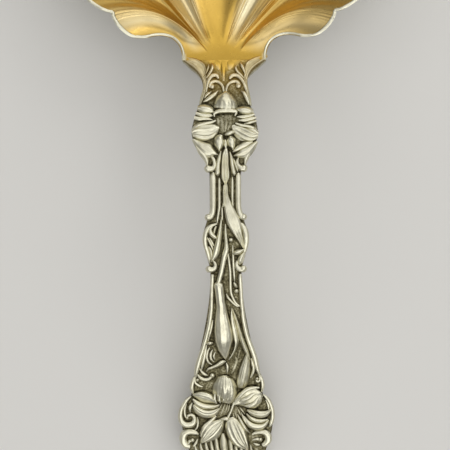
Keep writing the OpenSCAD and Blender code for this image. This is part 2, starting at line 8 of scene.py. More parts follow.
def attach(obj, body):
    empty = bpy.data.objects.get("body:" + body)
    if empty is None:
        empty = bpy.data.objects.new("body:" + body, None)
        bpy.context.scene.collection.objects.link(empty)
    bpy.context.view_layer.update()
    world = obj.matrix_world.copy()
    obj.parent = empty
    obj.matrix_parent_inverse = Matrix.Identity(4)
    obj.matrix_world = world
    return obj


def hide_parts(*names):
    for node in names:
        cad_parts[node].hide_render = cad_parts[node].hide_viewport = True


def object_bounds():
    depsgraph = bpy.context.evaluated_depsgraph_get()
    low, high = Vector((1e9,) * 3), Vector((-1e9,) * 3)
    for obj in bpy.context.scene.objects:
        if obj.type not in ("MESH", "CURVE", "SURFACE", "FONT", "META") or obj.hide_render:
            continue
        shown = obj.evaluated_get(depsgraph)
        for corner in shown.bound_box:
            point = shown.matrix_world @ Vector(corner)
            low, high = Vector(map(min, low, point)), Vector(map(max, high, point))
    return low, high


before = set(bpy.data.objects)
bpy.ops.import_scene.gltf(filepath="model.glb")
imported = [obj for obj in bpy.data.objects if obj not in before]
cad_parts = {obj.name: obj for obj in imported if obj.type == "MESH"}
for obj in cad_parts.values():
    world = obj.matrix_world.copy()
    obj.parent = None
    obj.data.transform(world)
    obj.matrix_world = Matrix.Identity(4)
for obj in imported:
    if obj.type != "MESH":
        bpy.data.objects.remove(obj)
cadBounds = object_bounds()
print("frame loaded:", len(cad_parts), "nodes")

mm = 0.001


def linear(hexColour):
    rgb = [int(hexColour[i:i + 2], 16) / 255 for i in (1, 3, 5)]
    return [c / 12.92 if c <= 0.04045 else ((c + 0.055) / 1.055) ** 2.4 for c in rgb] + [1.0]


def addNode(tree, kind, settings=None, **links):
    # settings go to the node, links to its inputs: a value, a node or (node, output)
    node = tree.nodes.new(kind)
    for key, value in (settings or {}).items():
        setattr(node, key, value)
    for key, value in links.items():
        numbered = key.startswith("in") and key[2:].isdigit()
        socket = node.inputs[int(key[2:]) if numbered else key.replace("_", " ")]
        source, output = value if isinstance(value, tuple) else (value, 0)
        if isinstance(source, bpy.types.Node):
            tree.links.new(source.outputs[output], socket)
        else:
            socket.default_value = value
    return node


def calc(tree, operation, *values):
    links = {f"in{i}": value for i, value in enumerate(values)}
    return addNode(tree, "ShaderNodeMath", {"operation": operation}, **links)


def remap(tree, value, fromLow, fromHigh, toLow, toHigh, **settings):
    return addNode(tree, "ShaderNodeMapRange", settings,
                   in0=value, in1=fromLow, in2=fromHigh, in3=toLow, in4=toHigh)


# Sizes that the bowl and the handle share with the CAD part, in millimetres
bowlSizes = {
    "length": 102, "width": 88, "depth": 14.5, "scallop": 3, "sheet": 1.1, "gilt": 0.2, "bareRim": 0.9,
    "restFlat": 16, "heelRun": 6, "shoulderWidth": 21, "planPower": 2.4, "wallPower": 2.2,
}
handleSizes = {
    "length": 110, "archRise": 6.5, "heelSlope": 0.62, "archPlace": 26, "endSlope": -0.05, "bowlSlope": 0.78,
    "neckThickness": 3.2, "endThickness": 2.4, "roundEnd": 5.8, "leastHalf": 0.2,
}
patternTurn = {"lean": 0.0085, "shift": -0.2}  # the handle lies half a degree off the picture's upright

halfAcross = bowlSizes["width"] / 2 - bowlSizes["scallop"]
halfAlong = (bowlSizes["length"] - bowlSizes["heelRun"] - bowlSizes["scallop"]) / 2
bowlMiddle = bowlSizes["heelRun"] + halfAlong
shoulderY = (handleSizes["length"] - bowlSizes["length"]) / 2
lowRest = bowlSizes["depth"] * (bowlSizes["restFlat"] / 2 / halfAcross) ** bowlSizes["wallPower"]
floorHeight = bowlSizes["sheet"] + bowlSizes["gilt"] - lowRest


def dishHeight(x, y):
    power = bowlSizes["planPower"]
    rho = (np.abs(x) / halfAcross) ** power + (np.abs(y - bowlMiddle) / halfAlong) ** power
    return floorHeight + bowlSizes["depth"] * rho ** (bowlSizes["wallPower"] / power)


heelHeight = float(dishHeight(0.0, 0.0))


def cubic(v0, v1, m0, m1, run, t):
    t2, t3 = t * t, t * t * t
    slopes = (t3 - 2 * t2 + t) * m0 + (t3 - t2) * m1
    return (2 * t3 - 3 * t2 + 1) * v0 + (3 * t2 - 2 * t3) * v1 + run * slopes


def faceHeight(d):
    # height of the handle's face at d millimetres below the shoulder line, carried on up the bowl for d < 0
    d = np.asarray(d, float)
    arch, rest = handleSizes["archPlace"], handleSizes["length"] - handleSizes["archPlace"]
    top = heelHeight + handleSizes["archRise"]
    rise = cubic(heelHeight, top, handleSizes["heelSlope"], 0, arch, np.clip(d / arch, 0, 1))
    end, slope = handleSizes["endThickness"], handleSizes["endSlope"]
    fall = cubic(top, end, 0, slope, rest, np.clip((d - arch) / rest, 0, 1))
    return np.where(d < 0, heelHeight + handleSizes["bowlSlope"] * d, np.where(d < arch, rise, fall))


outline = [  # distance from the shoulder line, half width, slope of the edge
    (0, 10.5, -1.9), (6.5, 5.35, 0), (18.3, 8.25, 0), (29, 3.9, 0), (37, 3.9, 0), (44.8, 5.7, 0),
    (53.5, 3.9, 0), (79, 8.2, 0.25), (83.6, 8.9, 0.2), (88.8, 11.6, 0), (104, 6.5, -0.62), (110, 4.5, -0.6),
]


def plateHalf(d):
    half = np.zeros_like(d)
    for (d0, w0, m0), (d1, w1, m1) in zip(outline, outline[1:]):
        inside = (d >= d0) & (d <= d1)
        half = np.where(inside, cubic(w0, w1, m0, m1, d1 - d0, (d - d0) / (d1 - d0)), half)
    t = np.clip((d - handleSizes["length"] + handleSizes["roundEnd"]) / handleSizes["roundEnd"], 0, 1)
    return np.maximum(handleSizes["leastHalf"], half * np.sqrt(1 - t * t))


def straighten(x, d):
    return x - patternTurn["shift"] - patternTurn["lean"] * d


def onHandle(x, d, h):
    # a place on the handle's pattern as a point of the part, in metres
    return np.stack([x, shoulderY - d, faceHeight(d) + h], -1) * mm


meshing = {"curveSteps": 24, "beadRings": 6, "beadSides": 14, "sharpAngle": 55}


def smoothRows(rows, count):
    # Catmull-Rom through the rows, evenly spaced along the middle line
    rows = np.array(rows, float)
    padded = np.vstack([2 * rows[0] - rows[1], rows, 2 * rows[-1] - rows[-2]])
    u = np.linspace(0, 1, meshing["curveSteps"], endpoint=False)[:, None]
    fine = []
    for i in range(len(rows) - 1):
        a, b, c, e = padded[i:i + 4]
        fine.append(b + 0.5 * u * (c - a + u * (2 * a - 5 * b + 4 * c - e + u * (3 * (b - c) + e - a))))
    fine = np.vstack(fine + [rows[-1:]])
    run = np.concatenate([[0], np.cumsum(np.linalg.norm(np.diff(fine[:, :2], axis=0), axis=1))])
    at = np.linspace(0, run[-1], count)
    return np.stack([np.interp(at, run, column) for column in fine.T], 1)


def tube(rings):
    # a closed mesh over rings of points, with a flat face at each end
    count, n = rings.shape[:2]
    quads = [(i * n + k, i * n + (k + 1) % n, (i + 1) * n + (k + 1) % n, (i + 1) * n + k)
             for i in range(count - 1) for k in range(n)]
    ends = [tuple(range(n - 1, -1, -1)), tuple(range((count - 1) * n, count * n))]
    return rings.reshape(-1, 3), quads + ends


crossForms = {  # how high a blade is across its width, from 0 at the edges to 1
    "round": lambda a: np.sqrt(np.clip(1 - a * a, 0, 1)),
    "dome": lambda a: np.clip(1 - a ** 2.2, 0, 1),
    "leaf": lambda a: np.clip(1 - a ** 1.25, 0, 1) ** 0.75,  # two flanks that meet in a soft ridge
    "cup": lambda a: np.clip(1 - a ** 10, 0, 1) * (0.5 + 0.5 * a ** 2),  # raised edges round a hollow
    "flat": lambda a: np.clip(1 - a ** 6, 0, 1),
}
usualBlade = {
    "form": "round", "along": 44, "across": 22, "lean": 0, "lift": 1, "wall": 0.12, "sink": 0.4,
    "leastHalf": 0.04, "veinStart": 0, "veinFade": 0.3, "veinBend": 0, "veinWave": 1.5, "ruffleSlant": 2.2,
}


def blade(*rows, **shape):
    # a leaf or petal: its rows are across, down, half width and height along the middle line
    return {**usualBlade, **shape, "rows": rows}


def dome(*rows, **shape):
    return blade(*rows, form="dome", **shape)


def bladeShape(leaf):
    # a fine face over a flat back that is sunk into the plate
    rows = smoothRows(leaf["rows"], leaf["along"])
    rows[:, 0] = straighten(rows[:, 0], rows[:, 1])
    x, d, half, rise = rows.T[:, :, None]
    half = np.maximum(half, leaf["leastHalf"])
    way = np.gradient(rows[:, :2], axis=0)
    way /= np.linalg.norm(way, axis=1)[:, None]
    u = np.sin(np.linspace(-1, 1, leaf["across"]) * math.pi / 2)[None, :]
    t = np.linspace(0, 1, leaf["along"])[:, None]
    high = crossForms[leaf["form"]](np.abs(np.clip(u + leaf["lean"] * (1 - u * u), -1, 1) + 0 * t))
    if "veins" in leaf:
        fan = np.clip((t - leaf["veinStart"]) / leaf["veinFade"], 0, 1)
        across = u + leaf["veinBend"] * np.sin(leaf["veinWave"] * math.pi * t) + 1
        high = high * (1 - fan * leaf["veinDepth"] * (0.5 + 0.5 * np.cos(math.pi * leaf["veins"] * across)))
    if "ruffle" in leaf:
        wave = np.sin(2 * math.pi * leaf["waves"] * t + leaf["ruffleSlant"] * u)
        high = high * (1 + leaf["ruffle"] * wave * np.abs(u))
    if "lines" in leaf:  # chased lines that spread with the blade
        high = high * (1 - leaf["lineDepth"] * (0.5 + 0.5 * np.cos(2 * math.pi * leaf["lines"] * u)))
    h = leaf["wall"] + rise * high * leaf["lift"]
    if "tilt" in leaf:  # one edge stands higher than the other
        h = h + abs(leaf["tilt"]) * half * (1 + math.copysign(1, leaf["tilt"]) * u) * (1 - u ** 8)
    px, pd = x - way[:, 1:] * half * u, d + way[:, :1] * half * u
    back = onHandle(px[:, [-1, 0]], pd[:, [-1, 0]], -leaf["sink"])
    return tube(np.concatenate([onHandle(px, pd, h), back], 1))


def beadShape(x, d, radius, height):
    x = straighten(x, d)
    rise = np.arange(meshing["beadRings"])[:, None] / meshing["beadRings"] * math.pi / 2
    turn = 2 * math.pi * np.arange(meshing["beadSides"]) / meshing["beadSides"]
    reach = radius * np.vstack([[1], np.cos(rise)])
    level = np.vstack([[-usualBlade["sink"]], height * np.sin(rise)])
    verts, faces = tube(onHandle(x + reach * np.cos(turn), d - reach * np.sin(turn), level))
    ring = faces.pop()
    faces += [(ring[k - 1], ring[k], len(verts)) for k in range(len(ring))]  # the last ring closes in a tip
    return np.vstack([verts, onHandle(x, d, height)]), faces


def finishNormals(mesh):
    mesh.polygons.foreach_set("use_smooth", [True] * len(mesh.polygons))
    mesh.set_sharp_from_angle(angle=math.radians(meshing["sharpAngle"]))
    mesh.update()


def newObject(name, verts, faces, material=None, edges=()):
    mesh = bpy.data.meshes.new(name)
    mesh.from_pydata([tuple(v) for v in verts], edges, faces)
    mesh.update()
    if material:
        mesh.materials.append(material)
        finishNormals(mesh)
    obj = bpy.data.objects.new(name, mesh)
    bpy.context.collection.objects.link(obj)
    return obj


def setAttribute(obj, name, values):
    values = np.asarray(values, np.float32).reshape(-1)
    obj.data.attributes.new(name, "FLOAT", "POINT").data.foreach_set("value", values)


def meshShape(mesh):
    verts = np.zeros(len(mesh.vertices) * 3)
    mesh.vertices.foreach_get("co", verts)
    return verts.reshape(-1, 3), [tuple(p.vertices) for p in mesh.polygons]


def joinShapes(shapes):
    faces, base = [], 0
    for v, f in shapes:
        faces += [tuple(i + base for i in face) for face in f]
        base += len(v)
    return np.vstack([v for v, _ in shapes]), faces


def startMaterial(name):
    mat = bpy.data.materials.new(name)
    mat.use_nodes = True
    tree = mat.node_tree
    tree.nodes.clear()
    coords = addNode(tree, "ShaderNodeTexCoord")

    def texture(kind, size, **settings):  # grain of a size in millimetres
        place = (coords, "Object")
        return addNode(tree, "ShaderNodeTex" + kind, Vector=place, Scale=1 / (size * mm), **settings)

    return mat, tree, texture


def blend(tree, share, first, second):
    return addNode(tree, "ShaderNodeMix", {"data_type": "RGBA"}, in0=share, in6=first, in7=second), 2


def attribute(tree, name):
    return addNode(tree, "ShaderNodeAttribute", {"attribute_name": name}), "Fac"


def addBump(tree, strength, depth, height, **links):
    return addNode(tree, "ShaderNodeBump", Strength=strength, Distance=depth * mm, Height=height, **links)


def endMetal(tree, colour, rough, bump):
    metal = addNode(tree, "ShaderNodeBsdfPrincipled",
                    Base_Color=colour, Roughness=rough, Metallic=1.0, Normal=bump)
    addNode(tree, "ShaderNodeOutputMaterial", Surface=metal)


# Gold wash, fire gilt over silver and rubbed soft: satin, deep yellow, worn through to silver
# where the wear value is high; on the lobes where the light falls that silvery tone is also a painted
# highlight
giltLook = {
    "gold": "#D8B152", "deep": "#C19C42", "silver": "#E6DFBE", "cloudSize": 9, "grainSize": 0.5,
    "grainLow": 0.3, "grainHigh": 0.7, "smooth": 0.27, "rough": 0.39, "grain": 0.06, "grainDepth": 0.05,
}
# Old sterling silver, struck and hand finished: bright and a little worn on the high places, where a painted
# highlight is added, dark sulphide in the hollows together with painted shade, a punched matt ground, fine
# handling scratches
silverLook = {
    "tones": [(0.02, "#2C2718"), (0.3, "#6C664B"), (0.58, "#B4AF94"), (0.85, "#E2DEC6")],  # from low to high
    "low": 0.15, "roughLow": 0.5, "high": 0.7, "roughHigh": 0.31,
    "tarnishSize": 2.0, "tarnish": 0.5, "tarnishShift": -0.27,
    "punchSize": 0.42, "punchMiddle": 0.35, "punchDepth": 0.4, "punchFull": 0.34, "punchEnds": 0.6,
    "chaseSize": 1.1, "chase": 0.65, "chaseDepth": 0.12,
    "scratchSize": 0.3, "scratch": 0.15, "scratchDepth": 0.05,
}


def makeSilver(look):
    mat, tree, texture = startMaterial("Oxidised sterling silver")
    # the relief level darkens the hollows with dark sulphide and painted shade, and lightens the high places
    # with polish and a painted highlight
    relief = attribute(tree, "relief")
    # patches of tarnish shift where the dark begins
    patch = texture("Noise", look["tarnishSize"], Detail=3.0)
    drift = calc(tree, "MULTIPLY_ADD", patch, look["tarnish"], look["tarnishShift"])
    # the ground is matted with a small round punch
    where = remap(tree, relief, look["punchFull"], look["punchEnds"], look["punchDepth"], 0)
    dots = calc(tree, "SUBTRACT", texture("Voronoi", look["punchSize"]), look["punchMiddle"])
    level = calc(tree, "ADD", relief, calc(tree, "MULTIPLY_ADD", dots, where, drift))
    ramp = addNode(tree, "ShaderNodeValToRGB", Fac=level)
    points = ramp.color_ramp.elements
    points[0].position, points[1].position = look["tones"][0][0], look["tones"][-1][0]
    for place, _ in look["tones"][1:-1]:
        points.new(place)
    for point, (_, tone) in zip(points, look["tones"]):
        point.color = linear(tone)
    # some of the gold wash lies over the silver, and near the bowl a painted reflection of the gilt bowl
    # tints it too
    golden = blend(tree, attribute(tree, "giltAndGoldReflection"), ramp, linear(giltLook["gold"]))
    rough = remap(tree, level, look["low"], look["high"], look["roughLow"], look["roughHigh"])
    chase = texture("Noise", look["chaseSize"], Detail=2.0)
    uneven = addBump(tree, look["chase"], look["chaseDepth"], chase)
    scratch = texture("Noise", look["scratchSize"], Detail=4.0)
    bump = addBump(tree, look["scratch"], look["scratchDepth"], scratch, Normal=uneven)
    endMetal(tree, golden, rough, bump)
    return mat


def makeGilt(look):
    mat, tree, texture = startMaterial("Gold wash on silver")
    cloud = texture("Noise", look["cloudSize"], Detail=4.0)
    tone = blend(tree, cloud, linear(look["deep"]), linear(look["gold"]))
    grain = texture("Noise", look["grainSize"], Detail=3.0)
    rough = remap(tree, grain, look["grainLow"], look["grainHigh"], look["smooth"], look["rough"])
    bump = addBump(tree, look["grain"], look["grainDepth"], grain)
    endMetal(tree, blend(tree, attribute(tree, "worn"), tone, linear(look["silver"])), rough, bump)
    return mat


silver, gilt = makeSilver(silverLook), makeGilt(giltLook)
print("materials made")


def newTree(name, inputs):
    # a node group with one named input for each value
    tree = bpy.data.node_groups.new(name, "GeometryNodeTree")
    tree.interface.new_socket("Geometry", in_out="OUTPUT", socket_type="NodeSocketGeometry")
    tree.interface.new_socket("Geometry", in_out="INPUT", socket_type="NodeSocketGeometry")
    for label, value in {**inputs, "Material": None}.items():
        kind = {float: "Float", int: "Int"}.get(type(value), "Material")
        tree.interface.new_socket(label, in_out="INPUT", socket_type="NodeSocket" + kind)
    return tree, tree.nodes.new("NodeGroupInput")


def endTree(tree, start, shape):
    plain = addNode(tree, "GeometryNodeRealizeInstances", Geometry=shape)
    painted = addNode(tree, "GeometryNodeSetMaterial", Geometry=plain, Material=(start, "Material"))
    addNode(tree, "NodeGroupOutput", Geometry=painted)
    return tree


def named(tree, name):
    return addNode(tree, "GeometryNodeInputNamedAttribute", {"data_type": "FLOAT"}, Name=name), "Attribute"


def applyTree(obj, tree, values):
    # run a tree on an object and keep the result as a plain mesh
    mod = obj.modifiers.new("shape", "NODES")
    mod.node_group = tree
    for socket in tree.interface.items_tree:
        if socket.name in values:
            mod[socket.identifier] = values[socket.name]
    mesh = bpy.data.meshes.new_from_object(obj.evaluated_get(bpy.context.evaluated_depsgraph_get()))
    obj.modifiers.remove(mod)
    old, obj.data = obj.data, mesh
    bpy.data.meshes.remove(old)


# Rails, stems, scrolls and tendrils: a half-sunk oval wire that follows its path
wireInputs = {"Point Spacing": 0.18 * mm, "Height Share": 1.0, "Profile Points": 16}


def makeWireTree():
    tree, start = newTree("ornament wire", wireInputs)
    curve = addNode(tree, "GeometryNodeMeshToCurve", Mesh=(start, "Geometry"))
    bent = addNode(tree, "GeometryNodeCurveSplineType", {"spline_type": "CATMULL_ROM"}, Curve=curve)
    even = addNode(tree, "GeometryNodeResampleCurve", {"mode": "LENGTH"},
                   Curve=bent, Length=(start, "Point Spacing"))
    width = named(tree, "halfWidth")
    sized = addNode(tree, "GeometryNodeSetCurveRadius", Curve=even, Radius=width)
    upright = addNode(tree, "GeometryNodeSetCurveNormal", {"mode": "Z_UP"}, Curve=sized)
    ring = addNode(tree, "GeometryNodeCurvePrimitiveCircle", Resolution=(start, "Profile Points"), Radius=1.0)
    squash = addNode(tree, "ShaderNodeCombineXYZ", X=1.0, Y=(start, "Height Share"), Z=1.0)
    oval = addNode(tree, "GeometryNodeTransform", Geometry=ring, Scale=squash)
    wire = addNode(tree, "GeometryNodeCurveToMesh",
                   Curve=upright, Profile_Curve=oval, Fill_Caps=True, Scale=width)
    return endTree(tree, start, wire)


wireTree = makeWireTree()


def sweep(paths, share, spacing=wireInputs["Point Spacing"]):
    # paths are lists of (point, half width): returns the swept mesh
    edges, base = [], 0
    for way in paths:
        edges += [(base + i, base + i + 1) for i in range(len(way) - 1)]
        base += len(way)
    obj = newObject("wirePath", [point for way in paths for point, _ in way], [], edges=edges)
    setAttribute(obj, "halfWidth", [half * mm for way in paths for _, half in way])
    own = {"Point Spacing": spacing, "Height Share": float(share), "Material": silver}
    applyTree(obj, wireTree, {**wireInputs, **own})
    mesh = obj.data
    shape = meshShape(mesh)
    bpy.data.objects.remove(obj)
    bpy.data.meshes.remove(mesh)
    return shape


usualOrnament = {
    "material": silver, "share": 1, "lift": 0.12, "dim": 0, "wires": [], "blades": [], "beads": [],
}
ornaments, dimmed = [], {}


def carve(name, values):
    # one ornament of the handle from its blades, its wires (across, down, half width) and its beads
    piece = {**usualOrnament, **values}
    shapes = [bladeShape(leaf) for leaf in piece["blades"]]
    if piece["wires"]:
        ways = [[(onHandle(straighten(x, d), d, piece["lift"]), half) for x, d, half in way]
                for way in piece["wires"]]
        shapes.append(sweep(ways, piece["share"]))
    shapes += [beadShape(*bead) for bead in piece["beads"]]
    obj = newObject(name, *joinShapes(shapes), piece["material"])
    node = "".join("_" + letter.lower() if letter.isupper() else letter for letter in name)
    ornaments.append((obj, node))
    dimmed[obj.name] = piece["dim"]  # how much duller it is than its relief makes it


# Crest: wings along the shoulders, leaves, scrolls and the gilt tongue between them
carve("crestWingLeft", {"share": 1.1, "dim": 0.22, "wires": [
    [(-10.45, -0.25, 0.2), (-9.3, 0.5, 0.26), (-8.1, 1.3, 0.3), (-7.1, 2.2, 0.3), (-6.25, 3.2, 0.3),
        (-5.55, 4.3, 0.3), (-5.1, 5.5, 0.3), (-5, 6.6, 0.3), (-5.15, 8, 0.3), (-5.6, 9.6, 0.28),
        (-6.2, 11.2, 0.2)]], "blades": [
    blade((-10.7, -0.55, 0.3, 0.3), (-10.1, -0.4, 0.5, 0.45), (-9.2, -0.15, 0.65, 0.5),
        (-8, 0.3, 0.92, 0.55), (-7, 0.9, 1.15, 0.6), (-6.1, 1.75, 1.3, 0.6), (-5.6, 2.8, 0.95, 0.6),
        (-5.3, 4, 0.6, 0.6), (-5.05, 5.2, 0.5, 0.55), (-4.95, 6.5, 0.5, 0.55), (-5.1, 7.6, 0.5, 0.55),
        (-5.45, 8.7, 0.45, 0.5), (-5.9, 10, 0.35, 0.45), (-6.3, 11.2, 0.2, 0.4), form="cup", sink=1,
        along=60, across=34, lift=0.8, lines=2, lineDepth=0.16),
    blade((-4, 0.9, 0.15, 0.5), (-4.15, 1.7, 0.36, 0.75), (-4.5, 2.7, 0.36, 0.75),
        (-5.1, 3.9, 0.15, 0.5))]})
carve("crestWingRight", {"share": 1.1, "dim": 0.22, "wires": [
    [(10.2, -0.5, 0.2), (9, 0.3, 0.26), (7.8, 1.05, 0.3), (6.8, 1.9, 0.3), (6, 2.9, 0.3), (5.45, 4.1, 0.3),
        (5.2, 5.4, 0.3), (5.25, 6.7, 0.3), (5.5, 8.2, 0.3), (5.9, 9.8, 0.28), (6.4, 11.4, 0.2)]],
    "blades": [
    blade((10.6, -0.9, 0.3, 0.3), (10, -0.75, 0.5, 0.45), (9, -0.4, 0.62, 0.5), (8, 0, 0.8, 0.55),
        (7, 0.6, 0.98, 0.6), (6.2, 1.3, 1.12, 0.6), (5.7, 2.3, 0.85, 0.6), (5.3, 3.6, 0.55, 0.6),
        (5.15, 5, 0.48, 0.55), (5.25, 6.4, 0.45, 0.55), (5.5, 7.6, 0.45, 0.55), (5.85, 9, 0.4, 0.5),
        (6.2, 10.4, 0.32, 0.45), (6.5, 11.6, 0.18, 0.4), form="cup", sink=1, along=60, across=34, lift=0.8,
        lines=2, lineDepth=0.16)]})
carve("crestLeafLeft", {"blades": [
    blade((-3.4, 0.8, 0.25, 0.5), (-3.1, 1.5, 0.48, 0.8), (-3.35, 2.5, 0.48, 0.8), (-3.95, 3.5, 0.42, 0.7),
        (-4.7, 4.6, 0.2, 0.45))]})
carve("crestLeafRight", {"blades": [
    blade((2.85, 1.3, 0.22, 0.5), (2.7, 2.1, 0.42, 0.8), (3.2, 3, 0.42, 0.8), (4, 3.8, 0.36, 0.7),
        (4.8, 4.7, 0.15, 0.4)),
    dome((3.8, 0.7, 0.32, 0.5), (4.2, 1.4, 0.6, 0.8), (4.65, 2.4, 0.52, 0.75), (5.05, 3.6, 0.2, 0.45))]})
carve("crestScrollLeft", {"share": 1.15, "beads": [(-3.2, 6.65, 0.72, 0.9)], "wires": [
    [(-1.65, 4.8, 0.25), (-1.9, 4.2, 0.55), (-2.5, 3.85, 0.6), (-3.3, 4.15, 0.6), (-4, 5, 0.52),
        (-4.35, 6, 0.45), (-4.55, 7, 0.36), (-4.65, 8.1, 0.15)],
    [(-0.3, 8.1, 0.25), (-0.45, 7.1, 0.38), (-0.8, 6.3, 0.42), (-1.4, 5.75, 0.44), (-2.2, 5.4, 0.46),
        (-3.05, 5.55, 0.48), (-3.65, 6.05, 0.52), (-3.75, 6.65, 0.5), (-3.25, 6.95, 0.44)]], "blades": [
    blade((-1.7, 7.7, 0.15, 0.4), (-2.5, 8.5, 0.5, 0.75), (-3.5, 9.3, 0.6, 0.8), (-4.5, 10, 0.5, 0.65),
        (-5.4, 10.5, 0.15, 0.4)),
    dome((-3.4, 7.9, 0.2, 0.4), (-4.1, 8.4, 0.52, 0.8), (-4.7, 8.9, 0.42, 0.65), (-5.1, 9.6, 0.15, 0.4))]})
carve("crestScrollRight", {"share": 1.15, "beads": [(3.35, 6.5, 0.78, 0.95)], "wires": [
    [(1.15, 4.95, 0.25), (1.4, 4.4, 0.55), (2, 3.95, 0.6), (2.8, 3.95, 0.58), (3.7, 4.5, 0.52),
        (4.45, 5.4, 0.46), (4.9, 6.4, 0.4), (5.25, 7.6, 0.28), (5.5, 8.6, 0.12)],
    [(0.3, 8.1, 0.25), (0.4, 7.1, 0.38), (0.75, 6.3, 0.42), (1.4, 5.75, 0.44), (2.2, 5.45, 0.46),
        (2.9, 5.55, 0.48), (3.35, 6, 0.52), (3.4, 6.4, 0.48)]], "blades": [
    blade((4, 7.8, 0.15, 0.4), (4.7, 8.3, 0.5, 0.8), (5.25, 9.2, 0.58, 0.85), (5.65, 10.2, 0.55, 0.75),
        (6, 11.3, 0.2, 0.45))]})
carve("crestTongue", {"material": gilt, "blades": [
    dome((-0.4, -0.2, 0.4, 0), (-0.4, 0.6, 0.7, 0.1), (-0.4, 1.6, 0.72, 0.22), (-0.4, 2.8, 0.62, 0.3),
        (-0.4, 4, 0.52, 0.32), (-0.35, 5.3, 0.25, 0.12), wall=-0.04),
    dome((-2.25, -0.2, 0.5, 0), (-2.15, 0.4, 0.85, 0.1), (-1.9, 1.1, 0.9, 0.18), (-1.65, 1.9, 0.65, 0.12),
        (-1.45, 2.8, 0.25, 0), wall=-0.04),
    dome((1.5, -0.2, 0.5, 0), (1.45, 0.4, 0.85, 0.1), (1.35, 1.1, 0.9, 0.18), (1.2, 1.9, 0.65, 0.12),
        (1.05, 2.8, 0.25, 0), wall=-0.04)]})

# Small lily: a hood with a turned lip, folded petals at its sides and a cleft lip below
carve("smallLilyHood", {"lift": 0.95, "dim": 0.06, "wires": [
    [(-2.6, 14.3, 0.15), (-2.65, 13.5, 0.4), (-1.7, 12.95, 0.56), (0, 12.75, 0.62), (1.6, 12.8, 0.6),
        (2.75, 13.1, 0.46), (2.45, 14.1, 0.15)]], "blades": [
    dome((0.05, 7.8, 0.4, 0.4), (0.1, 8.4, 1.3, 0.9), (0.1, 9.2, 2.1, 1.2), (0.1, 10.1, 2.65, 1.45),
        (0.15, 11, 2.95, 1.6), (0.15, 11.8, 3.05, 1.6), (0.1, 12.4, 2.95, 1.4), (0, 12.75, 2.75, 0.9),
        across=48, along=50, veins=5, veinDepth=0.1, veinStart=0.4)]})
carve("smallLilyLobeLeft", {"blades": [
    dome((-6.9, 12, 0.6, 0.6), (-5.7, 12.2, 1.25, 1.1), (-4.5, 12.35, 1.3, 1.2), (-3.5, 12.7, 1, 1),
        (-2.7, 13.2, 0.35, 0.6)),
    blade((-7.3, 13.3, 0.4, 0.35), (-6, 13.7, 0.58, 0.55), (-4.8, 13.85, 0.58, 0.6),
        (-3.6, 13.9, 0.48, 0.5), (-2.9, 14, 0.15, 0.3)),
    blade((-7.7, 14.4, 0.5, 0.4), (-6.5, 14.7, 0.58, 0.55), (-5.2, 14.7, 0.5, 0.5), (-4, 14.8, 0.4, 0.45),
        (-3.1, 15.1, 0.15, 0.3))]})
carve("smallLilyLobeRight", {"blades": [
    dome((2.8, 12.5, 0.4, 0.6), (3.9, 12.6, 1.05, 1.1), (5.1, 12.7, 1.25, 1.2), (6.2, 12.9, 1, 1),
        (7.1, 13.1, 0.35, 0.5)),
    blade((3, 14.3, 0.2, 0.35), (4.2, 14.3, 0.46, 0.5), (5.4, 14.15, 0.52, 0.55), (6.6, 13.9, 0.48, 0.5),
        (7.4, 13.7, 0.25, 0.35)),
    blade((3.4, 15.2, 0.2, 0.35), (4.6, 15.2, 0.48, 0.5), (5.8, 15, 0.52, 0.55), (7, 14.7, 0.48, 0.5),
        (7.8, 14.5, 0.25, 0.35)),
    blade((4.7, 16.1, 0.2, 0.45), (5.8, 15.9, 0.4, 0.75), (6.9, 15.6, 0.42, 0.75),
        (7.9, 15.3, 0.22, 0.5))]})
carve("smallLilyPetalLeft", {"share": 0.9, "lift": 0.75, "wires": [
    [(-2.3, 15.2, 0.2), (-3.4, 15.65, 0.32), (-5, 15.95, 0.34), (-6.8, 16.4, 0.25)]], "blades": [
    dome((-1.5, 16.9, 0.4, 0.35), (-2.4, 17.2, 1.5, 0.7), (-3.5, 17.5, 2.15, 0.95), (-4.9, 17.8, 2.4, 1.1),
        (-6.2, 18, 2.35, 1.1), (-7.4, 18.2, 1.8, 0.95), (-8.2, 18.4, 0.8, 0.55), veins=4, veinDepth=0.3,
        veinBend=0.16, veinStart=0.05, across=60, along=60)]})
carve("smallLilyPetalRight", {"share": 0.9, "lift": 0.75, "wires": [
    [(2.6, 15.9, 0.2), (3.9, 16.4, 0.32), (5.6, 16.7, 0.34), (7.2, 17.1, 0.25)]], "blades": [
    dome((1.8, 16.5, 0.45, 0.35), (2.9, 17.3, 1.6, 0.7), (4.4, 18.1, 2.15, 0.95), (5.8, 18.5, 2.25, 1.1),
        (7.2, 18.7, 1.85, 1), (8.3, 18.85, 0.8, 0.55), veins=4, veinDepth=0.3, veinBend=0.16,
        veinStart=0.05, across=60, along=60)]})
carve("smallLilyLip", {"blades": [
    dome((0, 13.9, 2, 0.08), (0.05, 14.8, 2.5, 0.12), (0.1, 15.8, 2.6, 0.13), (0.15, 16.8, 2.1, 0.13),
        (0.2, 17.7, 1.4, 0.12), (0.2, 18.4, 0.6, 0.08), wall=0.02, across=60, along=40, veins=5,
        veinDepth=0.7, veinBend=0.1),
    blade((0, 18.8, 0.3, 0.7), (0.7, 18.5, 0.62, 1.1), (1.6, 18.2, 0.66, 1.1), (2.4, 18.1, 0.3, 0.7)),
    dome((-0.9, 18.8, 0.6, 0.7), (-1.3, 19.8, 1.4, 1.2), (-1.4, 21, 1.45, 1.2), (-1.4, 22, 0.9, 0.9),
        (-1.45, 22.9, 0.12, 0.4)),
    dome((1.4, 19.1, 0.5, 0.7), (1.5, 20, 1.25, 1.2), (1.7, 21.1, 1.2, 1.2), (1.9, 21.9, 0.7, 0.9),
        (2, 22.7, 0.12, 0.4)), blade((0.1, 20, 0.25, 0.6), (0.15, 21.2, 0.56, 1), (0.2, 22.2, 0.3, 0.7))]})

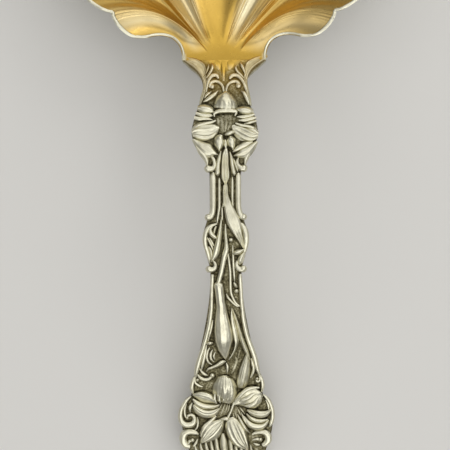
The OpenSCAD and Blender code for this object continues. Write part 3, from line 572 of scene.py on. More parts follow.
# Sheaths and hooks that close the small lily, and its pendant
carve("sheathLeft", {"blades": [
    dome((-8, 19.8, 0.3, 0.5), (-6.9, 20.8, 0.95, 0.75), (-5.7, 21.8, 1.55, 0.95), (-4.6, 22.6, 2, 1),
        (-3.6, 23.1, 1.55, 1), (-2.7, 23.4, 0.85, 0.85), (-1.8, 23.8, 0.12, 0.4), lean=0.2, along=50,
        across=34, lines=3, lineDepth=0.07),
    dome((-7.3, 21.4, 0.2, 0.45), (-6.2, 22.8, 0.65, 0.65), (-5.15, 24, 0.8, 0.7), (-4.55, 25.2, 0.6, 0.6),
        (-4.4, 26.5, 0.25, 0.4), sink=0.8)]})
carve("sheathRight", {"blades": [
    blade((6.9, 20.6, 0.2, 0.5), (5.4, 21.15, 0.75, 0.85), (4, 21.8, 0.8, 0.9), (2.8, 22.5, 0.6, 0.8),
        (1.9, 23.1, 0.15, 0.4)),
    dome((8, 20.5, 0.3, 0.5), (6.9, 21.7, 0.9, 0.8), (5.8, 22.75, 1.3, 0.95), (4.8, 23.35, 1.5, 1),
        (3.8, 23.75, 1.1, 1), (2.9, 23.9, 0.6, 0.85), (2.1, 24.05, 0.15, 0.4), lean=-0.2, along=50,
        across=34, lines=2, lineDepth=0.07),
    dome((6.6, 22.6, 0.2, 0.45), (5.7, 23.8, 0.65, 0.65), (5.15, 25, 0.58, 0.6), (4.95, 26.3, 0.25, 0.4),
        sink=0.8)]})
carve("sheathHookLeft", {"beads": [(-4.2, 27.2, 1, 1)], "wires": [
    [(-3.6, 23.9, 0.2), (-2.95, 24.7, 0.42), (-2.6, 25.6, 0.5), (-2.6, 26.4, 0.6), (-2.95, 27.05, 0.74),
        (-3.6, 27.25, 0.88), (-4.2, 27.2, 0.9)]]})
carve("sheathHookRight", {"beads": [(4.65, 27.15, 0.95, 1)], "wires": [
    [(3.4, 24.4, 0.2), (3.05, 25.3, 0.42), (3.15, 26.2, 0.55), (3.6, 26.85, 0.72), (4.2, 27.15, 0.84),
        (4.65, 27.15, 0.86)]]})
carve("pendant", {"blades": [
    blade((0.3, 22.1, 0.3, 0.6), (0.15, 23.4, 0.82, 1), (0.05, 25, 1.02, 1.02), (0, 26.5, 1.08, 1),
        (0.1, 28, 1.2, 1), (0.1, 29.2, 1.22, 1.02), (0.1, 30.2, 0.85, 0.9), (0.15, 31.4, 0.12, 0.4),
        form="flat", along=60, across=40, veins=3, veinDepth=0.32),
    blade((-1, 22.8, 0.15, 0.5), (-1.4, 24.4, 0.52, 0.8), (-1.65, 26, 0.6, 0.85), (-1.8, 27.3, 0.66, 0.9),
        (-1.85, 28.3, 0.68, 0.95), (-1.75, 29, 0.25, 0.5)),
    blade((1.2, 23, 0.18, 0.5), (1.6, 24.5, 0.48, 0.8), (1.8, 26, 0.54, 0.85), (2, 27.2, 0.6, 0.9),
        (2.25, 28.3, 0.6, 0.95), (2.3, 29, 0.22, 0.5)),
    blade((2.15, 24.7, 0.12, 0.4), (2.55, 26, 0.34, 0.65), (2.95, 27.2, 0.36, 0.65),
        (3.2, 28, 0.12, 0.4))]})

# Upper stem: edge rails with turned-out feet, thin ribs and the two leaves between them
carve("upperRailLeft", {"share": 0.85, "beads": [(-4.2, 39.35, 0.9, 0.9)], "wires": [
    [(-2.95, 28.1, 0.35), (-2.95, 29.2, 0.72), (-2.95, 32, 0.76), (-2.95, 36, 0.76), (-3, 37.4, 0.74),
        (-3.2, 38.4, 0.74), (-3.6, 39.1, 0.78), (-4.2, 39.35, 0.8)],
    [(-1.4, 29.5, 0.15), (-1.4, 31, 0.36), (-1.4, 36, 0.36), (-1.6, 38, 0.32), (-1.85, 39.6, 0.28),
        (-2, 40.7, 0.12)], [(-0.75, 36.6, 0.12), (-0.7, 38, 0.26), (-0.7, 40, 0.2)]]})
carve("upperRailRight", {"share": 0.85, "beads": [(4.6, 39.3, 0.88, 0.9)], "wires": [
    [(3.3, 28.3, 0.35), (3.3, 29.4, 0.68), (3.3, 33, 0.7), (3.32, 36, 0.7), (3.45, 37.3, 0.7),
        (3.7, 38.3, 0.7), (4.1, 39.05, 0.76), (4.6, 39.3, 0.78)],
    [(1.85, 29.3, 0.12), (1.85, 31, 0.3), (1.85, 35, 0.3), (2.05, 36.8, 0.12)]]})
carve("longLeaf", {"blades": [
    blade((0.2, 30.6, 0.35, 0.35), (0.17, 32, 0.62, 0.5), (0.2, 34, 0.74, 0.55), (0.6, 35.6, 0.98, 0.6),
        (1, 37.2, 1.3, 0.65), (1.5, 38.7, 1.62, 0.7), (2.05, 40.2, 1.82, 0.75), (2.75, 42, 1.55, 0.75),
        (3.4, 43.7, 1.08, 0.75), (4.05, 45.3, 0.7, 0.7), (4.6, 46.6, 0.46, 0.6), (5.2, 47.7, 0.12, 0.4),
        form="flat", along=90, across=44, lines=4, lineDepth=0.12, tilt=0.12),
    blade((-0.3, 31.3, 0.15, 0.7), (-0.3, 33, 0.3, 0.9), (-0.2, 35.4, 0.38, 1), (-0.35, 36.4, 0.44, 1),
        (-0.75, 36.9, 0.2, 0.5))]})
carve("shortLeaf", {"blades": [
    dome((-0.85, 39.3, 0.12, 0.35), (-1, 40.8, 0.42, 0.7), (-1.15, 42.2, 0.58, 0.85),
        (-1.45, 44.1, 0.78, 0.95), (-1.75, 46, 0.88, 1), (-2.1, 47.6, 1, 1), (-2.5, 48.8, 0.9, 0.9),
        (-2.95, 49.7, 0.58, 0.7), (-3.4, 50.5, 0.12, 0.4), along=60, across=30, lines=2, lineDepth=0.08)]})

# Knop: an ear on each side with a hook under it
carve("knopFrameLeft", {"beads": [(-3.95, 52.25, 0.88, 0.9)], "wires": [
    [(-2, 40.9, 0.18), (-2.9, 41.2, 0.42), (-3.8, 41.6, 0.52), (-4.5, 42.5, 0.58), (-4.9, 43.7, 0.62),
        (-5, 45, 0.62), (-4.85, 46.2, 0.6), (-4.5, 47.4, 0.56), (-4.15, 48.6, 0.52), (-3.9, 49.8, 0.4),
        (-3.8, 50.6, 0.18)],
    [(-3, 50.1, 0.18), (-2.5, 50.8, 0.44), (-2.4, 51.5, 0.54), (-2.75, 52.1, 0.7), (-3.4, 52.3, 0.78),
        (-3.95, 52.25, 0.8)], [(-4.4, 44.3, 0.15), (-3.9, 45.3, 0.3), (-3.3, 46.5, 0.3), (-3, 47.6, 0.12)],
    [(-3.9, 44.4, 0.12), (-3.3, 45.4, 0.28), (-2.8, 46.4, 0.2)]], "blades": [
    blade((-1.8, 44.7, 0.25, 0.5), (-2.6, 44.2, 0.52, 0.8), (-3.4, 43.4, 0.62, 0.85),
        (-3.7, 42.4, 0.58, 0.8), (-3.2, 41.6, 0.3, 0.5)),
    blade((-2.2, 41.5, 0.2, 0.4), (-2.5, 42.2, 0.36, 0.7), (-2.7, 43.1, 0.3, 0.65),
        (-2.7, 43.8, 0.12, 0.4)),
    blade((-4.1, 46.6, 0.2, 0.4), (-3.6, 47.6, 0.42, 0.65), (-3.4, 48.6, 0.36, 0.65),
        (-3.5, 49.8, 0.12, 0.4))]})
carve("knopFrameRight", {"share": 0.8, "beads": [(1.5, 45, 0.62, 0.75), (4.55, 52.25, 0.9, 0.9)], "wires": [
    [(3.7, 40.6, 0.2), (4.4, 41.4, 0.55), (4.95, 42.5, 0.7), (5.2, 43.8, 0.78), (5.25, 45.2, 0.76),
        (5.1, 46.6, 0.66), (4.85, 47.8, 0.52), (4.65, 48.8, 0.42)],
    [(3.2, 49.9, 0.18), (2.95, 50.8, 0.44), (3, 51.5, 0.55), (3.4, 52.1, 0.7), (4, 52.3, 0.8),
        (4.55, 52.25, 0.82)], [(3.6, 41.2, 0.15), (4, 42.2, 0.3), (4.2, 43.4, 0.26), (4.2, 44.3, 0.12)]],
    "blades": [
    dome((4.7, 47.4, 0.3, 0.6), (3.7, 47.9, 0.82, 1), (2.8, 48.2, 0.82, 1), (1.9, 48.6, 0.25, 0.5)),
    dome((4.9, 48, 0.25, 0.5), (4.3, 48.9, 0.7, 0.9), (3.9, 49.8, 0.86, 0.95), (3.75, 50.6, 0.7, 0.8),
        (3.7, 51.2, 0.2, 0.4))]})
carve("flowerStems", {"wires": [
    [(0.1, 41, 0.15), (0.15, 43.4, 0.34), (0.3, 45.3, 0.48), (0.38, 46.5, 0.62), (0.3, 47.5, 0.74),
        (-0.05, 48.6, 0.76), (-0.35, 50, 0.72), (-0.6, 51.3, 0.68), (-0.95, 53, 0.68), (-1.3, 54.4, 0.64),
        (-1.6, 55.6, 0.6), (-1.65, 56.2, 0.4)],
    [(0.7, 48, 0.15), (0.95, 49.8, 0.34), (1.15, 51.4, 0.36), (1.3, 53, 0.38), (1.35, 55, 0.38),
        (1.4, 57, 0.38), (1.55, 58.3, 0.36), (2, 59.5, 0.34), (2.6, 60.6, 0.33), (3.3, 61.3, 0.3),
        (3.9, 61.5, 0.15)],
    [(0.3, 58.4, 0.12), (0.8, 59.4, 0.32), (1.5, 60.2, 0.32), (2.3, 61, 0.3), (3, 61.5, 0.28),
        (3.8, 61.6, 0.12)],
    [(1.9, 46.3, 0.12), (2, 48.5, 0.3), (2.1, 51, 0.34), (2.3, 54, 0.3), (2.4, 55.4, 0.12)]]})

# Lower stem: rails, bud, leaves and tendrils
carve("lowerRailLeft", {"beads": [(-6.9, 80.1, 0.48, 0.7)], "wires": [
    [(-3.1, 53.5, 0.3), (-3.15, 54.4, 0.5), (-3.25, 56.5, 0.46), (-3.3, 59, 0.44), (-3.4, 62, 0.48),
        (-3.65, 64.3, 0.54), (-4, 66.5, 0.56), (-4.5, 68.7, 0.56), (-5.05, 70.7, 0.56), (-5.7, 72.8, 0.58),
        (-6.35, 74.8, 0.62), (-6.9, 76.8, 0.64), (-7.2, 78.2, 0.54), (-7.4, 79.4, 0.3)],
    [(-3.05, 64.9, 0.15), (-3.4, 66.8, 0.34), (-3.9, 68.8, 0.36), (-4.3, 70.4, 0.2)],
    [(-4.6, 71.2, 0.15), (-4.9, 72.6, 0.4), (-5.25, 74.4, 0.5), (-5.65, 76.2, 0.46), (-6, 77.6, 0.2)],
    [(-7.7, 79.2, 0.2), (-8.1, 80.6, 0.48), (-8.3, 82, 0.54), (-8, 83.4, 0.3)],
    [(-7.3, 79, 0.18), (-7.6, 79.8, 0.32), (-7.4, 80.8, 0.34), (-6.5, 81.5, 0.32), (-5.6, 81.8, 0.15)]]})
carve("lowerRailRight", {"beads": [(8.05, 79.9, 0.48, 0.7)], "wires": [
    [(3.8, 53.4, 0.3), (3.8, 54.6, 0.5), (3.95, 57, 0.5), (4.1, 60, 0.5), (4.35, 62.5, 0.52),
        (4.65, 65, 0.54), (5.25, 68, 0.56), (5.85, 70, 0.58), (6.6, 72, 0.62), (7.3, 74, 0.66),
        (7.8, 76, 0.64), (8.25, 77.8, 0.5), (8.7, 79, 0.3)],
    [(6.6, 74.6, 0.15), (6.9, 76, 0.36), (7.2, 77.4, 0.42), (6.9, 78.6, 0.36), (6.4, 79.6, 0.18)],
    [(8.8, 78.8, 0.2), (9.3, 80.4, 0.46), (9.45, 81.8, 0.5), (9.2, 83.2, 0.25)],
    [(8.3, 78.7, 0.18), (8.75, 79.4, 0.32), (8.7, 80.3, 0.34), (8.1, 80.6, 0.34), (7.8, 80, 0.32)]]})
carve("lilyBud", {"blades": [
    blade((-1.6, 55.5, 0.8, 0.5), (-1.6, 56.2, 1.2, 1.15), (-1.35, 58, 1.2, 1.35), (-1.15, 60, 1.22, 1.35),
        (-0.9, 62, 1.36, 1.3), (-0.83, 64, 1.65, 1.3), (-0.65, 66, 2, 1.45), (-0.48, 68, 2.28, 1.75),
        (-0.33, 70, 2.32, 1.95), (-0.28, 71, 2.15, 1.85), (-0.22, 72, 1.8, 1.6), (-0.1, 73, 1.38, 1.3),
        (0.05, 74, 0.9, 0.9), (0.2, 75, 0.1, 0.4), lines=2, lineDepth=0.04, along=90, across=44)]})
carve("slenderLeaf", {"blades": [
    blade((1.9, 62.2, 0.12, 0.5), (2.5, 63.8, 0.36, 0.75), (3.2, 66, 0.46, 0.85), (3.7, 68, 0.54, 0.9),
        (4.25, 70, 0.62, 0.9), (5, 72, 0.66, 0.85), (5.7, 73.7, 0.56, 0.75), (6.3, 75.2, 0.2, 0.4),
        form="leaf", along=60),
    dome((1.75, 62, 0.15, 0.3), (1.8, 64, 0.5, 0.45), (2.1, 66, 0.72, 0.5), (2.5, 68, 0.82, 0.5),
        (2.8, 69.8, 0.76, 0.5), (2.85, 71, 0.52, 0.5), (2.5, 72.5, 0.38, 0.45), (1.8, 73.9, 0.3, 0.4),
        (1, 75, 0.2, 0.3), along=60, lean=-0.3)]})
carve("broadLeaf", {"blades": [
    dome((5.6, 73.2, 0.15, 0.5), (5.45, 74.5, 0.7, 0.9), (5.25, 76, 1.2, 1.1), (4.95, 77.4, 1.45, 1.2),
        (4.65, 78.8, 1.55, 1.2), (4.4, 80, 1.5, 1.1), (4.2, 81.2, 1.35, 0.9), (4.1, 82.2, 0.9, 0.5),
        lean=-0.12, along=56, across=50, lines=2, lineDepth=0.16)]})
carve("tendrilLeft", {"share": 1.05, "beads": [(-3.2, 79, 0.7, 0.9)], "wires": [
    [(-3.8, 71.9, 0.15), (-4.4, 73, 0.34), (-4.55, 74.3, 0.38), (-4.2, 75.5, 0.34), (-3.3, 76.2, 0.15)],
    [(-3.1, 72.4, 0.15), (-3.6, 73.6, 0.36), (-3.45, 74.8, 0.34), (-2.8, 75.5, 0.15)],
    [(-2.4, 73, 0.12), (-2.8, 74, 0.28), (-2.6, 74.9, 0.15)],
    [(-6.4, 77.2, 0.15), (-5.8, 78, 0.38), (-5.1, 78.6, 0.4), (-4.4, 78.9, 0.2)],
    [(-7, 78.5, 0.2), (-6.3, 79.4, 0.44), (-5.3, 79.9, 0.5), (-4.2, 79.85, 0.5), (-3.4, 79.2, 0.42)]],
    "blades": [
    blade((-4.6, 70.9, 0.25, 0.5), (-3.8, 70.85, 0.54, 0.9), (-3, 70.7, 0.2, 0.5)),
    blade((0.2, 75.4, 0.2, 0.4), (-0.8, 75.7, 0.68, 0.95), (-1.8, 76.35, 0.56, 0.9), (-3, 76.9, 0.46, 0.8),
        (-4.1, 77.3, 0.38, 0.65), (-4.7, 78, 0.12, 0.4))]})
carve("tendrilRight", {"beads": [(2.85, 57.8, 0.62, 0.85)], "blades": [
    blade((2.2, 55.6, 0.2, 0.4), (2.6, 56.3, 0.44, 0.7), (3, 56.9, 0.2, 0.4)),
    blade((0.3, 75.8, 0.15, 0.3), (0.6, 76.8, 0.42, 0.5), (0.6, 77.8, 0.3, 0.4), (0.5, 78.5, 0.1, 0.3)),
    blade((2.4, 74.2, 0.12, 0.05), (2.9, 75, 0.36, 0.12), (2.7, 76.2, 0.36, 0.12), (2.1, 77.6, 0.3, 0.1),
        (1.6, 78.6, 0.12, 0.05), wall=0.02),
    blade((3.9, 72, 0.12, 0.05), (3.6, 73.2, 0.34, 0.1), (3.4, 74.2, 0.28, 0.1), (3.2, 75, 0.1, 0.05),
        wall=0.02)]})

# Large lily: six petals round a dark throat, with pistil and stamens
carve("lilyTopPetal", {"share": 0.9, "lift": 1.1, "wires": [
    [(-2.5, 83.5, 0.12), (-2.6, 84.7, 0.36), (-2.2, 85.9, 0.15)],
    [(-1.45, 84.1, 0.12), (-1.4, 85, 0.32), (-1.2, 85.9, 0.12)],
    [(-0.35, 84, 0.12), (-0.35, 85, 0.3), (-0.3, 85.8, 0.12)],
    [(0.8, 84.2, 0.12), (0.7, 85, 0.3), (0.6, 85.6, 0.12)]], "blades": [
    dome((0, 79, 1.1, 0.6), (-0.05, 79.6, 1.9, 1.2), (0, 80.6, 2.6, 1.6), (0, 81.6, 3, 1.85),
        (0, 82.6, 3.15, 1.95), (0, 83.6, 3.15, 1.85), (-0.15, 84.6, 3, 1.5), (-0.3, 85.4, 2.6, 1),
        (-0.4, 85.9, 2.2, 0.5), lean=0.15, across=80, along=56, veins=3, veinDepth=0.2, veinStart=0.42,
        lines=4, lineDepth=0.04)]})
carve("lilyLeftPetal", {"blades": [
    dome((-8.1, 83.9, 0.3, 0.6), (-6.9, 84, 1.1, 1.15), (-5.5, 84.35, 1.6, 1.45), (-4.1, 84.8, 1.5, 1.4),
        (-3, 85.4, 0.95, 1.1), (-2, 86.1, 0.3, 0.7), across=40, lean=0.2, lines=2, lineDepth=0.07)]})
carve("lilyLeftFold", {"blades": [
    blade((-8.1, 84.9, 0.3, 0.6), (-6.9, 86.05, 0.76, 0.95), (-5.5, 86.75, 0.84, 1.05),
        (-4, 86.95, 0.78, 1), (-2.7, 86.85, 0.6, 0.85), (-1.4, 86.4, 0.2, 0.5)),
    blade((-8, 86.4, 0.35, 0.6), (-7, 87.6, 0.92, 1.1), (-5.6, 88.5, 1.1, 1.3), (-4.2, 88.75, 1.1, 1.3),
        (-3, 88.5, 0.98, 1.15), (-2, 87.9, 0.6, 0.9), (-1.2, 87.2, 0.2, 0.5), lean=0.2, across=30, lines=2,
        lineDepth=0.12)]})
carve("lilyLowerLeftPetal", {"share": 0.9, "lift": 1.2, "wires": [
    [(-0.9, 90.8, 0.15), (-2.3, 92, 0.34), (-3.9, 93.5, 0.34), (-5.3, 95, 0.15)]], "blades": [
    dome((-0.6, 90.3, 0.5, 0.5), (-1.5, 91.3, 1.6, 0.85), (-2.6, 92.4, 2.3, 1.05), (-3.6, 93.5, 2.3, 1.1),
        (-4.6, 94.5, 1.75, 1), (-5.5, 95.4, 0.95, 0.8), (-6.3, 96.2, 0.12, 0.5), across=50, along=56,
        lines=3, lineDepth=0.16, tilt=0.12),
    blade((-2.2, 89.2, 0.3, 0.5), (-3.5, 90.5, 0.62, 0.85), (-4.8, 91.8, 0.8, 0.95), (-5.6, 93.1, 0.7, 0.9),
        (-6.1, 94.4, 0.3, 0.6))]})
carve("lilyLowerRightPetal", {"blades": [
    dome((1.5, 89.6, 0.8, 0.4), (1.75, 90.5, 1.75, 0.75), (2.15, 91.7, 2.3, 1), (2.7, 93, 2.5, 1.15),
        (3.3, 94.3, 2.5, 1.2), (4, 95.6, 2.15, 1.1), (4.85, 96.7, 1.4, 0.95), (5.8, 97.8, 0.15, 0.5),
        across=56, along=56, veins=4, veinDepth=0.26, tilt=0.16, lean=0.2)]})
carve("lilyRightPetal", {"blades": [
    blade((5.6, 87.7, 0.3, 0.7), (7, 88.5, 0.88, 1.15), (8.6, 88.9, 1.02, 1.3), (10, 88.8, 0.92, 1.2),
        (11, 88.2, 0.52, 0.9), (11.6, 87.5, 0.15, 0.4), across=30, lines=2, lineDepth=0.12),
    blade((5.4, 88.7, 0.2, 0.6), (6.5, 89.85, 0.6, 1.05), (7.9, 90.5, 0.68, 1.1), (9.3, 90.6, 0.64, 1.05),
        (10.8, 90.2, 0.25, 0.6)),
    blade((4.8, 89.4, 0.25, 0.6), (5.8, 91, 0.76, 1.05), (6.9, 91.8, 0.92, 1.2), (8.1, 92.1, 0.94, 1.2),
        (9.4, 91.9, 0.76, 1.1), (10.4, 91.1, 0.48, 0.9), (11, 90.3, 0.15, 0.4)),
    blade((3.1, 88.8, 0.15, 0.4), (3.8, 90.2, 0.46, 1), (4.5, 91.5, 0.54, 1.15), (5.3, 92.7, 0.5, 1),
        (6.3, 93.6, 0.15, 0.4)),
    blade((4, 88.3, 0.15, 0.4), (4.6, 89.6, 0.42, 0.9), (5.2, 90.8, 0.44, 0.95), (5.9, 92, 0.2, 0.5))]})
carve("lilyUpperRightPetal", {"share": 0.9, "lift": 1.1, "wires": [
    [(2.9, 85.3, 0.15), (3.9, 84, 0.44), (5.2, 82.8, 0.54), (6.8, 82.2, 0.44), (8.6, 82.1, 0.18)],
    [(3.6, 85.7, 0.15), (4.6, 85.1, 0.5), (5.8, 84.6, 0.66), (6.9, 83.8, 0.52), (7.8, 83.5, 0.36),
        (8.7, 83.7, 0.12)],
    [(4.9, 86.7, 0.15), (6.2, 86.6, 0.62), (7.4, 86, 0.64), (8.1, 85, 0.46), (8.7, 84.4, 0.15)]],
    "blades": [
    blade((2.1, 86.3, 0.35, 0.5), (3.2, 85.6, 1.3, 0.7), (4.6, 85, 2.2, 0.8), (6, 84.7, 2.85, 0.9),
        (7.3, 84.5, 3, 0.9), (8.3, 84.3, 2.4, 0.85), (9, 84.1, 1.4, 0.7), (9.4, 84, 0.3, 0.5), form="flat",
        across=56, along=56, ruffle=0.3, waves=1.5, tilt=-0.08)]})
carve("lilyPistil", {"share": 1.3, "lift": 0.3, "wires": [
    [(2.6, 85, 0.18), (2.1, 86.3, 0.38), (1.6, 87.8, 0.36), (1.1, 88.9, 0.38), (0.6, 89.8, 0.46)],
    [(-1.4, 90.2, 0.2), (-0.5, 90, 0.5), (0.4, 89.9, 0.6), (1.2, 90.6, 0.25)]]})
carve("lilyStamens", {"share": 0.8, "lift": 0.02, "dim": 0.1, "wires": [
    [(1.9, 88, 0.12), (2.2, 89.4, 0.26), (2.3, 91, 0.15)],
    [(2.4, 87.6, 0.12), (2.8, 89, 0.26), (3.1, 90.8, 0.15)],
    [(2.9, 87, 0.12), (3.6, 88.2, 0.28), (4.2, 89.7, 0.15)],
    [(3.5, 86.8, 0.12), (4.3, 87.8, 0.28), (5, 88.8, 0.15)],
    [(-1.2, 86.2, 0.12), (-2, 87.2, 0.28), (-2.6, 88.4, 0.15)],
    [(-0.6, 86, 0.12), (-1.3, 87.2, 0.28), (-1.9, 88.8, 0.15)],
    [(0.1, 85.9, 0.12), (-0.4, 87.2, 0.28), (-1.1, 89, 0.15)],
    [(0.7, 85.9, 0.12), (0.4, 87.2, 0.26), (-0.2, 89, 0.15)],
    [(1.3, 85.8, 0.12), (1, 87, 0.26), (0.5, 88.6, 0.15)]], "blades": [
    dome((-2.4, 88, 0.8, 0.06), (-1.2, 87.8, 1.6, 0.1), (0.2, 87.8, 2, 0.11), (1.6, 87.9, 2, 0.11),
        (3, 88.2, 1.6, 0.11), (4.4, 88.6, 0.8, 0.06), wall=0.02)]})

# Scrolls beside the lily and the ribs that run on to the end
carve("sideScrollLeft", {"beads": [(-9.5, 89.7, 0.44, 0.7)], "wires": [
    [(-8.5, 84.2, 0.2), (-9.5, 85, 0.42), (-10.3, 86.2, 0.48), (-10.95, 87.5, 0.52), (-11.2, 89, 0.58),
        (-10.95, 90.3, 0.7), (-10.3, 91.1, 0.78), (-9.4, 91.4, 0.82), (-8.3, 91.2, 0.8),
        (-7.75, 90.5, 0.68), (-7.7, 89.7, 0.56), (-8.1, 89, 0.48), (-8.8, 88.85, 0.42), (-9.4, 89.2, 0.38)],
    [(-9.7, 86, 0.15), (-10.1, 87.3, 0.32), (-10.1, 88.6, 0.34), (-9.8, 89.5, 0.25)],
    [(-8.2, 85.8, 0.15), (-8.8, 87, 0.46), (-8.7, 88.2, 0.2)],
    [(-7, 89.4, 0.12), (-6.8, 90.6, 0.3), (-7, 92, 0.3), (-7.6, 92.8, 0.15)]]})
carve("sideScrollRight", {"wires": [
    [(9.6, 83.9, 0.2), (10.6, 84.9, 0.44), (11.4, 86.3, 0.5), (11.9, 88, 0.52), (11.9, 89.8, 0.54),
        (11.5, 91.3, 0.5), (11.1, 92, 0.25)], [(10.2, 85.2, 0.15), (10.8, 86.4, 0.3), (11, 87.6, 0.25)]]})
carve("endScrollLeft", {"share": 0.8, "beads": [(-8.2, 95.3, 0.62, 0.85)], "wires": [
    [(-6.6, 93.8, 0.25), (-7.4, 93.4, 0.62), (-8.6, 93.1, 0.8), (-9.8, 93.3, 0.9), (-10.45, 94.1, 0.92),
        (-10.5, 95.1, 0.92), (-10.2, 96, 0.9), (-9.6, 96.7, 0.78), (-8.8, 96.9, 0.52)],
    [(-9.2, 96.2, 0.25), (-8.9, 95.5, 0.42), (-8.2, 95.3, 0.5)],
    [(-6.9, 95, 0.15), (-7.3, 96, 0.36), (-7.9, 96.8, 0.3)]]})
carve("endScrollRight", {"share": 0.8, "beads": [(8.9, 95.3, 0.6, 0.85)], "wires": [
    [(6.8, 94, 0.25), (7.8, 93.5, 0.52), (9.2, 93.3, 0.72), (10.3, 93.6, 0.86), (10.85, 94.5, 0.9),
        (10.8, 95.5, 0.88), (10.2, 96.3, 0.78), (9.4, 96.7, 0.55)],
    [(6.9, 95.4, 0.15), (8, 95.1, 0.4), (8.9, 95.3, 0.48)],
    [(7.2, 96.2, 0.15), (7.9, 96.5, 0.34), (8.7, 96.6, 0.2)]]})
# the fan's half widths from its middle rib outwards, and how far apart the ribs stand where the lily ends
endFan = {"ribs": [1.05, 0.62, 0.5, 0.5, 0.44, 0.4], "first": 1.75, "spread": 1.3, "middle": -0.5}
fanWires = []
for k, half in enumerate(endFan["ribs"]):
    for side in (-1, 1) if k else (0,):
        w = side * (endFan["spread"] * (k - 1) + endFan["first"])
        top = w + endFan["middle"]
        fanWires.append([
            (top, 93.6 + 0.6 * k, 0.3 * half), (top + 0.1, 95.6 + 0.4 * k, 0.9 * half),
            (0.97 * w, 98.5, half), (0.86 * w + 0.4, 101.5, half), (0.6 * w + 0.6, 105, 0.8 * half),
            (0.25 * w + 0.7, 108.4, 0.2 * half)])
carve("endFan", {"share": 0.9, "dim": 0.12, "wires": fanWires})
print("ornaments carved:", len(ornaments))


# Struck plate of the handle: matted ground on its face, rounded edges, smooth back
plate = {
    "along": 400, "roundSteps": 60, "roundRun": 6, "faceAcross": 60, "backAcross": 20, "edge": 0.5,
    "shoulderEdge": 0.84, "edgeFrom": 14, "edgeRun": 8, "lapRun": 1.2, "face": 0.97, "back": 0.9,
}


def plateShape():
    length, tip = handleSizes["length"], plate["roundRun"]
    ease = np.sin(np.linspace(0, 1, plate["roundSteps"] + 1)[1:] * math.pi / 2)
    d = np.concatenate([np.linspace(0, length - tip, plate["along"]), length - tip + tip * ease])
    z = faceHeight(d)
    tilt = np.arctan(np.gradient(z, d))[:, None]
    neck = handleSizes["neckThickness"]
    thick = neck + (handleSizes["endThickness"] - neck) * d / length
    u = np.linspace(-1, 1, plate["faceAcross"])
    v = np.linspace(plate["back"], -plate["back"], plate["backAcross"])

    def sectionAt(edge):
        # points as shares of the half width and the thickness: edge is what the side keeps of the thickness
        face = [(a * plate["face"], 0.0) for a in u]
        right = [(1.0, 0.12), (1.0, 0.6 * edge), (plate["face"], edge)]
        back = [(a, edge + 0.14 + (0.86 - edge) * math.sqrt(1 - (a / 0.93) ** 2) ** 0.8) for a in v]
        left = [(-a, b) for a, b in reversed(right)]
        return np.array(face + right + back + left)

    thin, full = sectionAt(plate["edge"]), sectionAt(plate["shoulderEdge"])
    swell = np.clip((plate["edgeFrom"] - d) / plate["edgeRun"], 0, 1)[:, None, None]
    section = thin + (full - thin) * swell
    x = plateHalf(d)[:, None] * section[..., 0]
    deep = thick[:, None] * section[..., 1]
    # the thickness is square to the face, so the shoulder's side shows from above
    hidden = (bowlSizes["sheet"] + bowlSizes["gilt"]) * np.clip(1 - d / plate["lapRun"], 0, 1)[:, None]
    y = shoulderY - d[:, None] - np.maximum(0, deep - hidden) * np.sin(tilt)
    return tube(np.stack([x, y, np.maximum(0, z[:, None] - deep * np.cos(tilt))], -1) * mm)


ornaments.append((newObject("handlePlate", *plateShape(), silver), "handle_plate"))
print("plate struck")


# Bowl: rays from the heel to a lobed rim, with ridges raised between the flutes
bowlRays = [  # ray, angle at the rim, start across the heel, bend across, bend from the heel
    (0, 180, 0, 0, 1.06), (0.5, 135, 0.06, 0.25, 0.68), (1.5, 80, 0.115, 0.405, 0.51),
    (2.5, 34.7, 0.24, 0.32, 0.35), (3.1, 23.6, 1, 0.235, 0.15)]
firstNotch, lastNotch, edgeRay = (bowlRays[i][0] for i in (1, -2, -1))
bowlGrid = {
    "lobeSteps": [72, 68, 68, 84], "raySteps": 64, "heelCrowding": 1.35, "rimSteps": 5, "rimCrown": 0.12,
    "cornerFrom": 2.88, "cornerRound": 0.05, "rimPower": 2.6, "rimPowerSwing": 0.4, "lobeFullness": 0.7,
    "within": 0.9999,
}
bowlDrift = {"across": 0.024, "start": 0.05}  # the inner flutes run left of the handle's line


def lobeNumbers():
    # ray numbers across the bowl: whole numbers run up the flutes, halves up the ridges
    *inner, last = bowlGrid["lobeSteps"]
    half = [edgeRay - (edgeRay - lastNotch) * np.arange(last) / last]
    for lobe in (2, 1, 0):
        n = inner[lobe]
        half.append(lobe + 0.5 - np.arange(n if lobe else n // 2) / n)
    half = np.concatenate(half)
    return np.concatenate([-half, [0], half[::-1]])


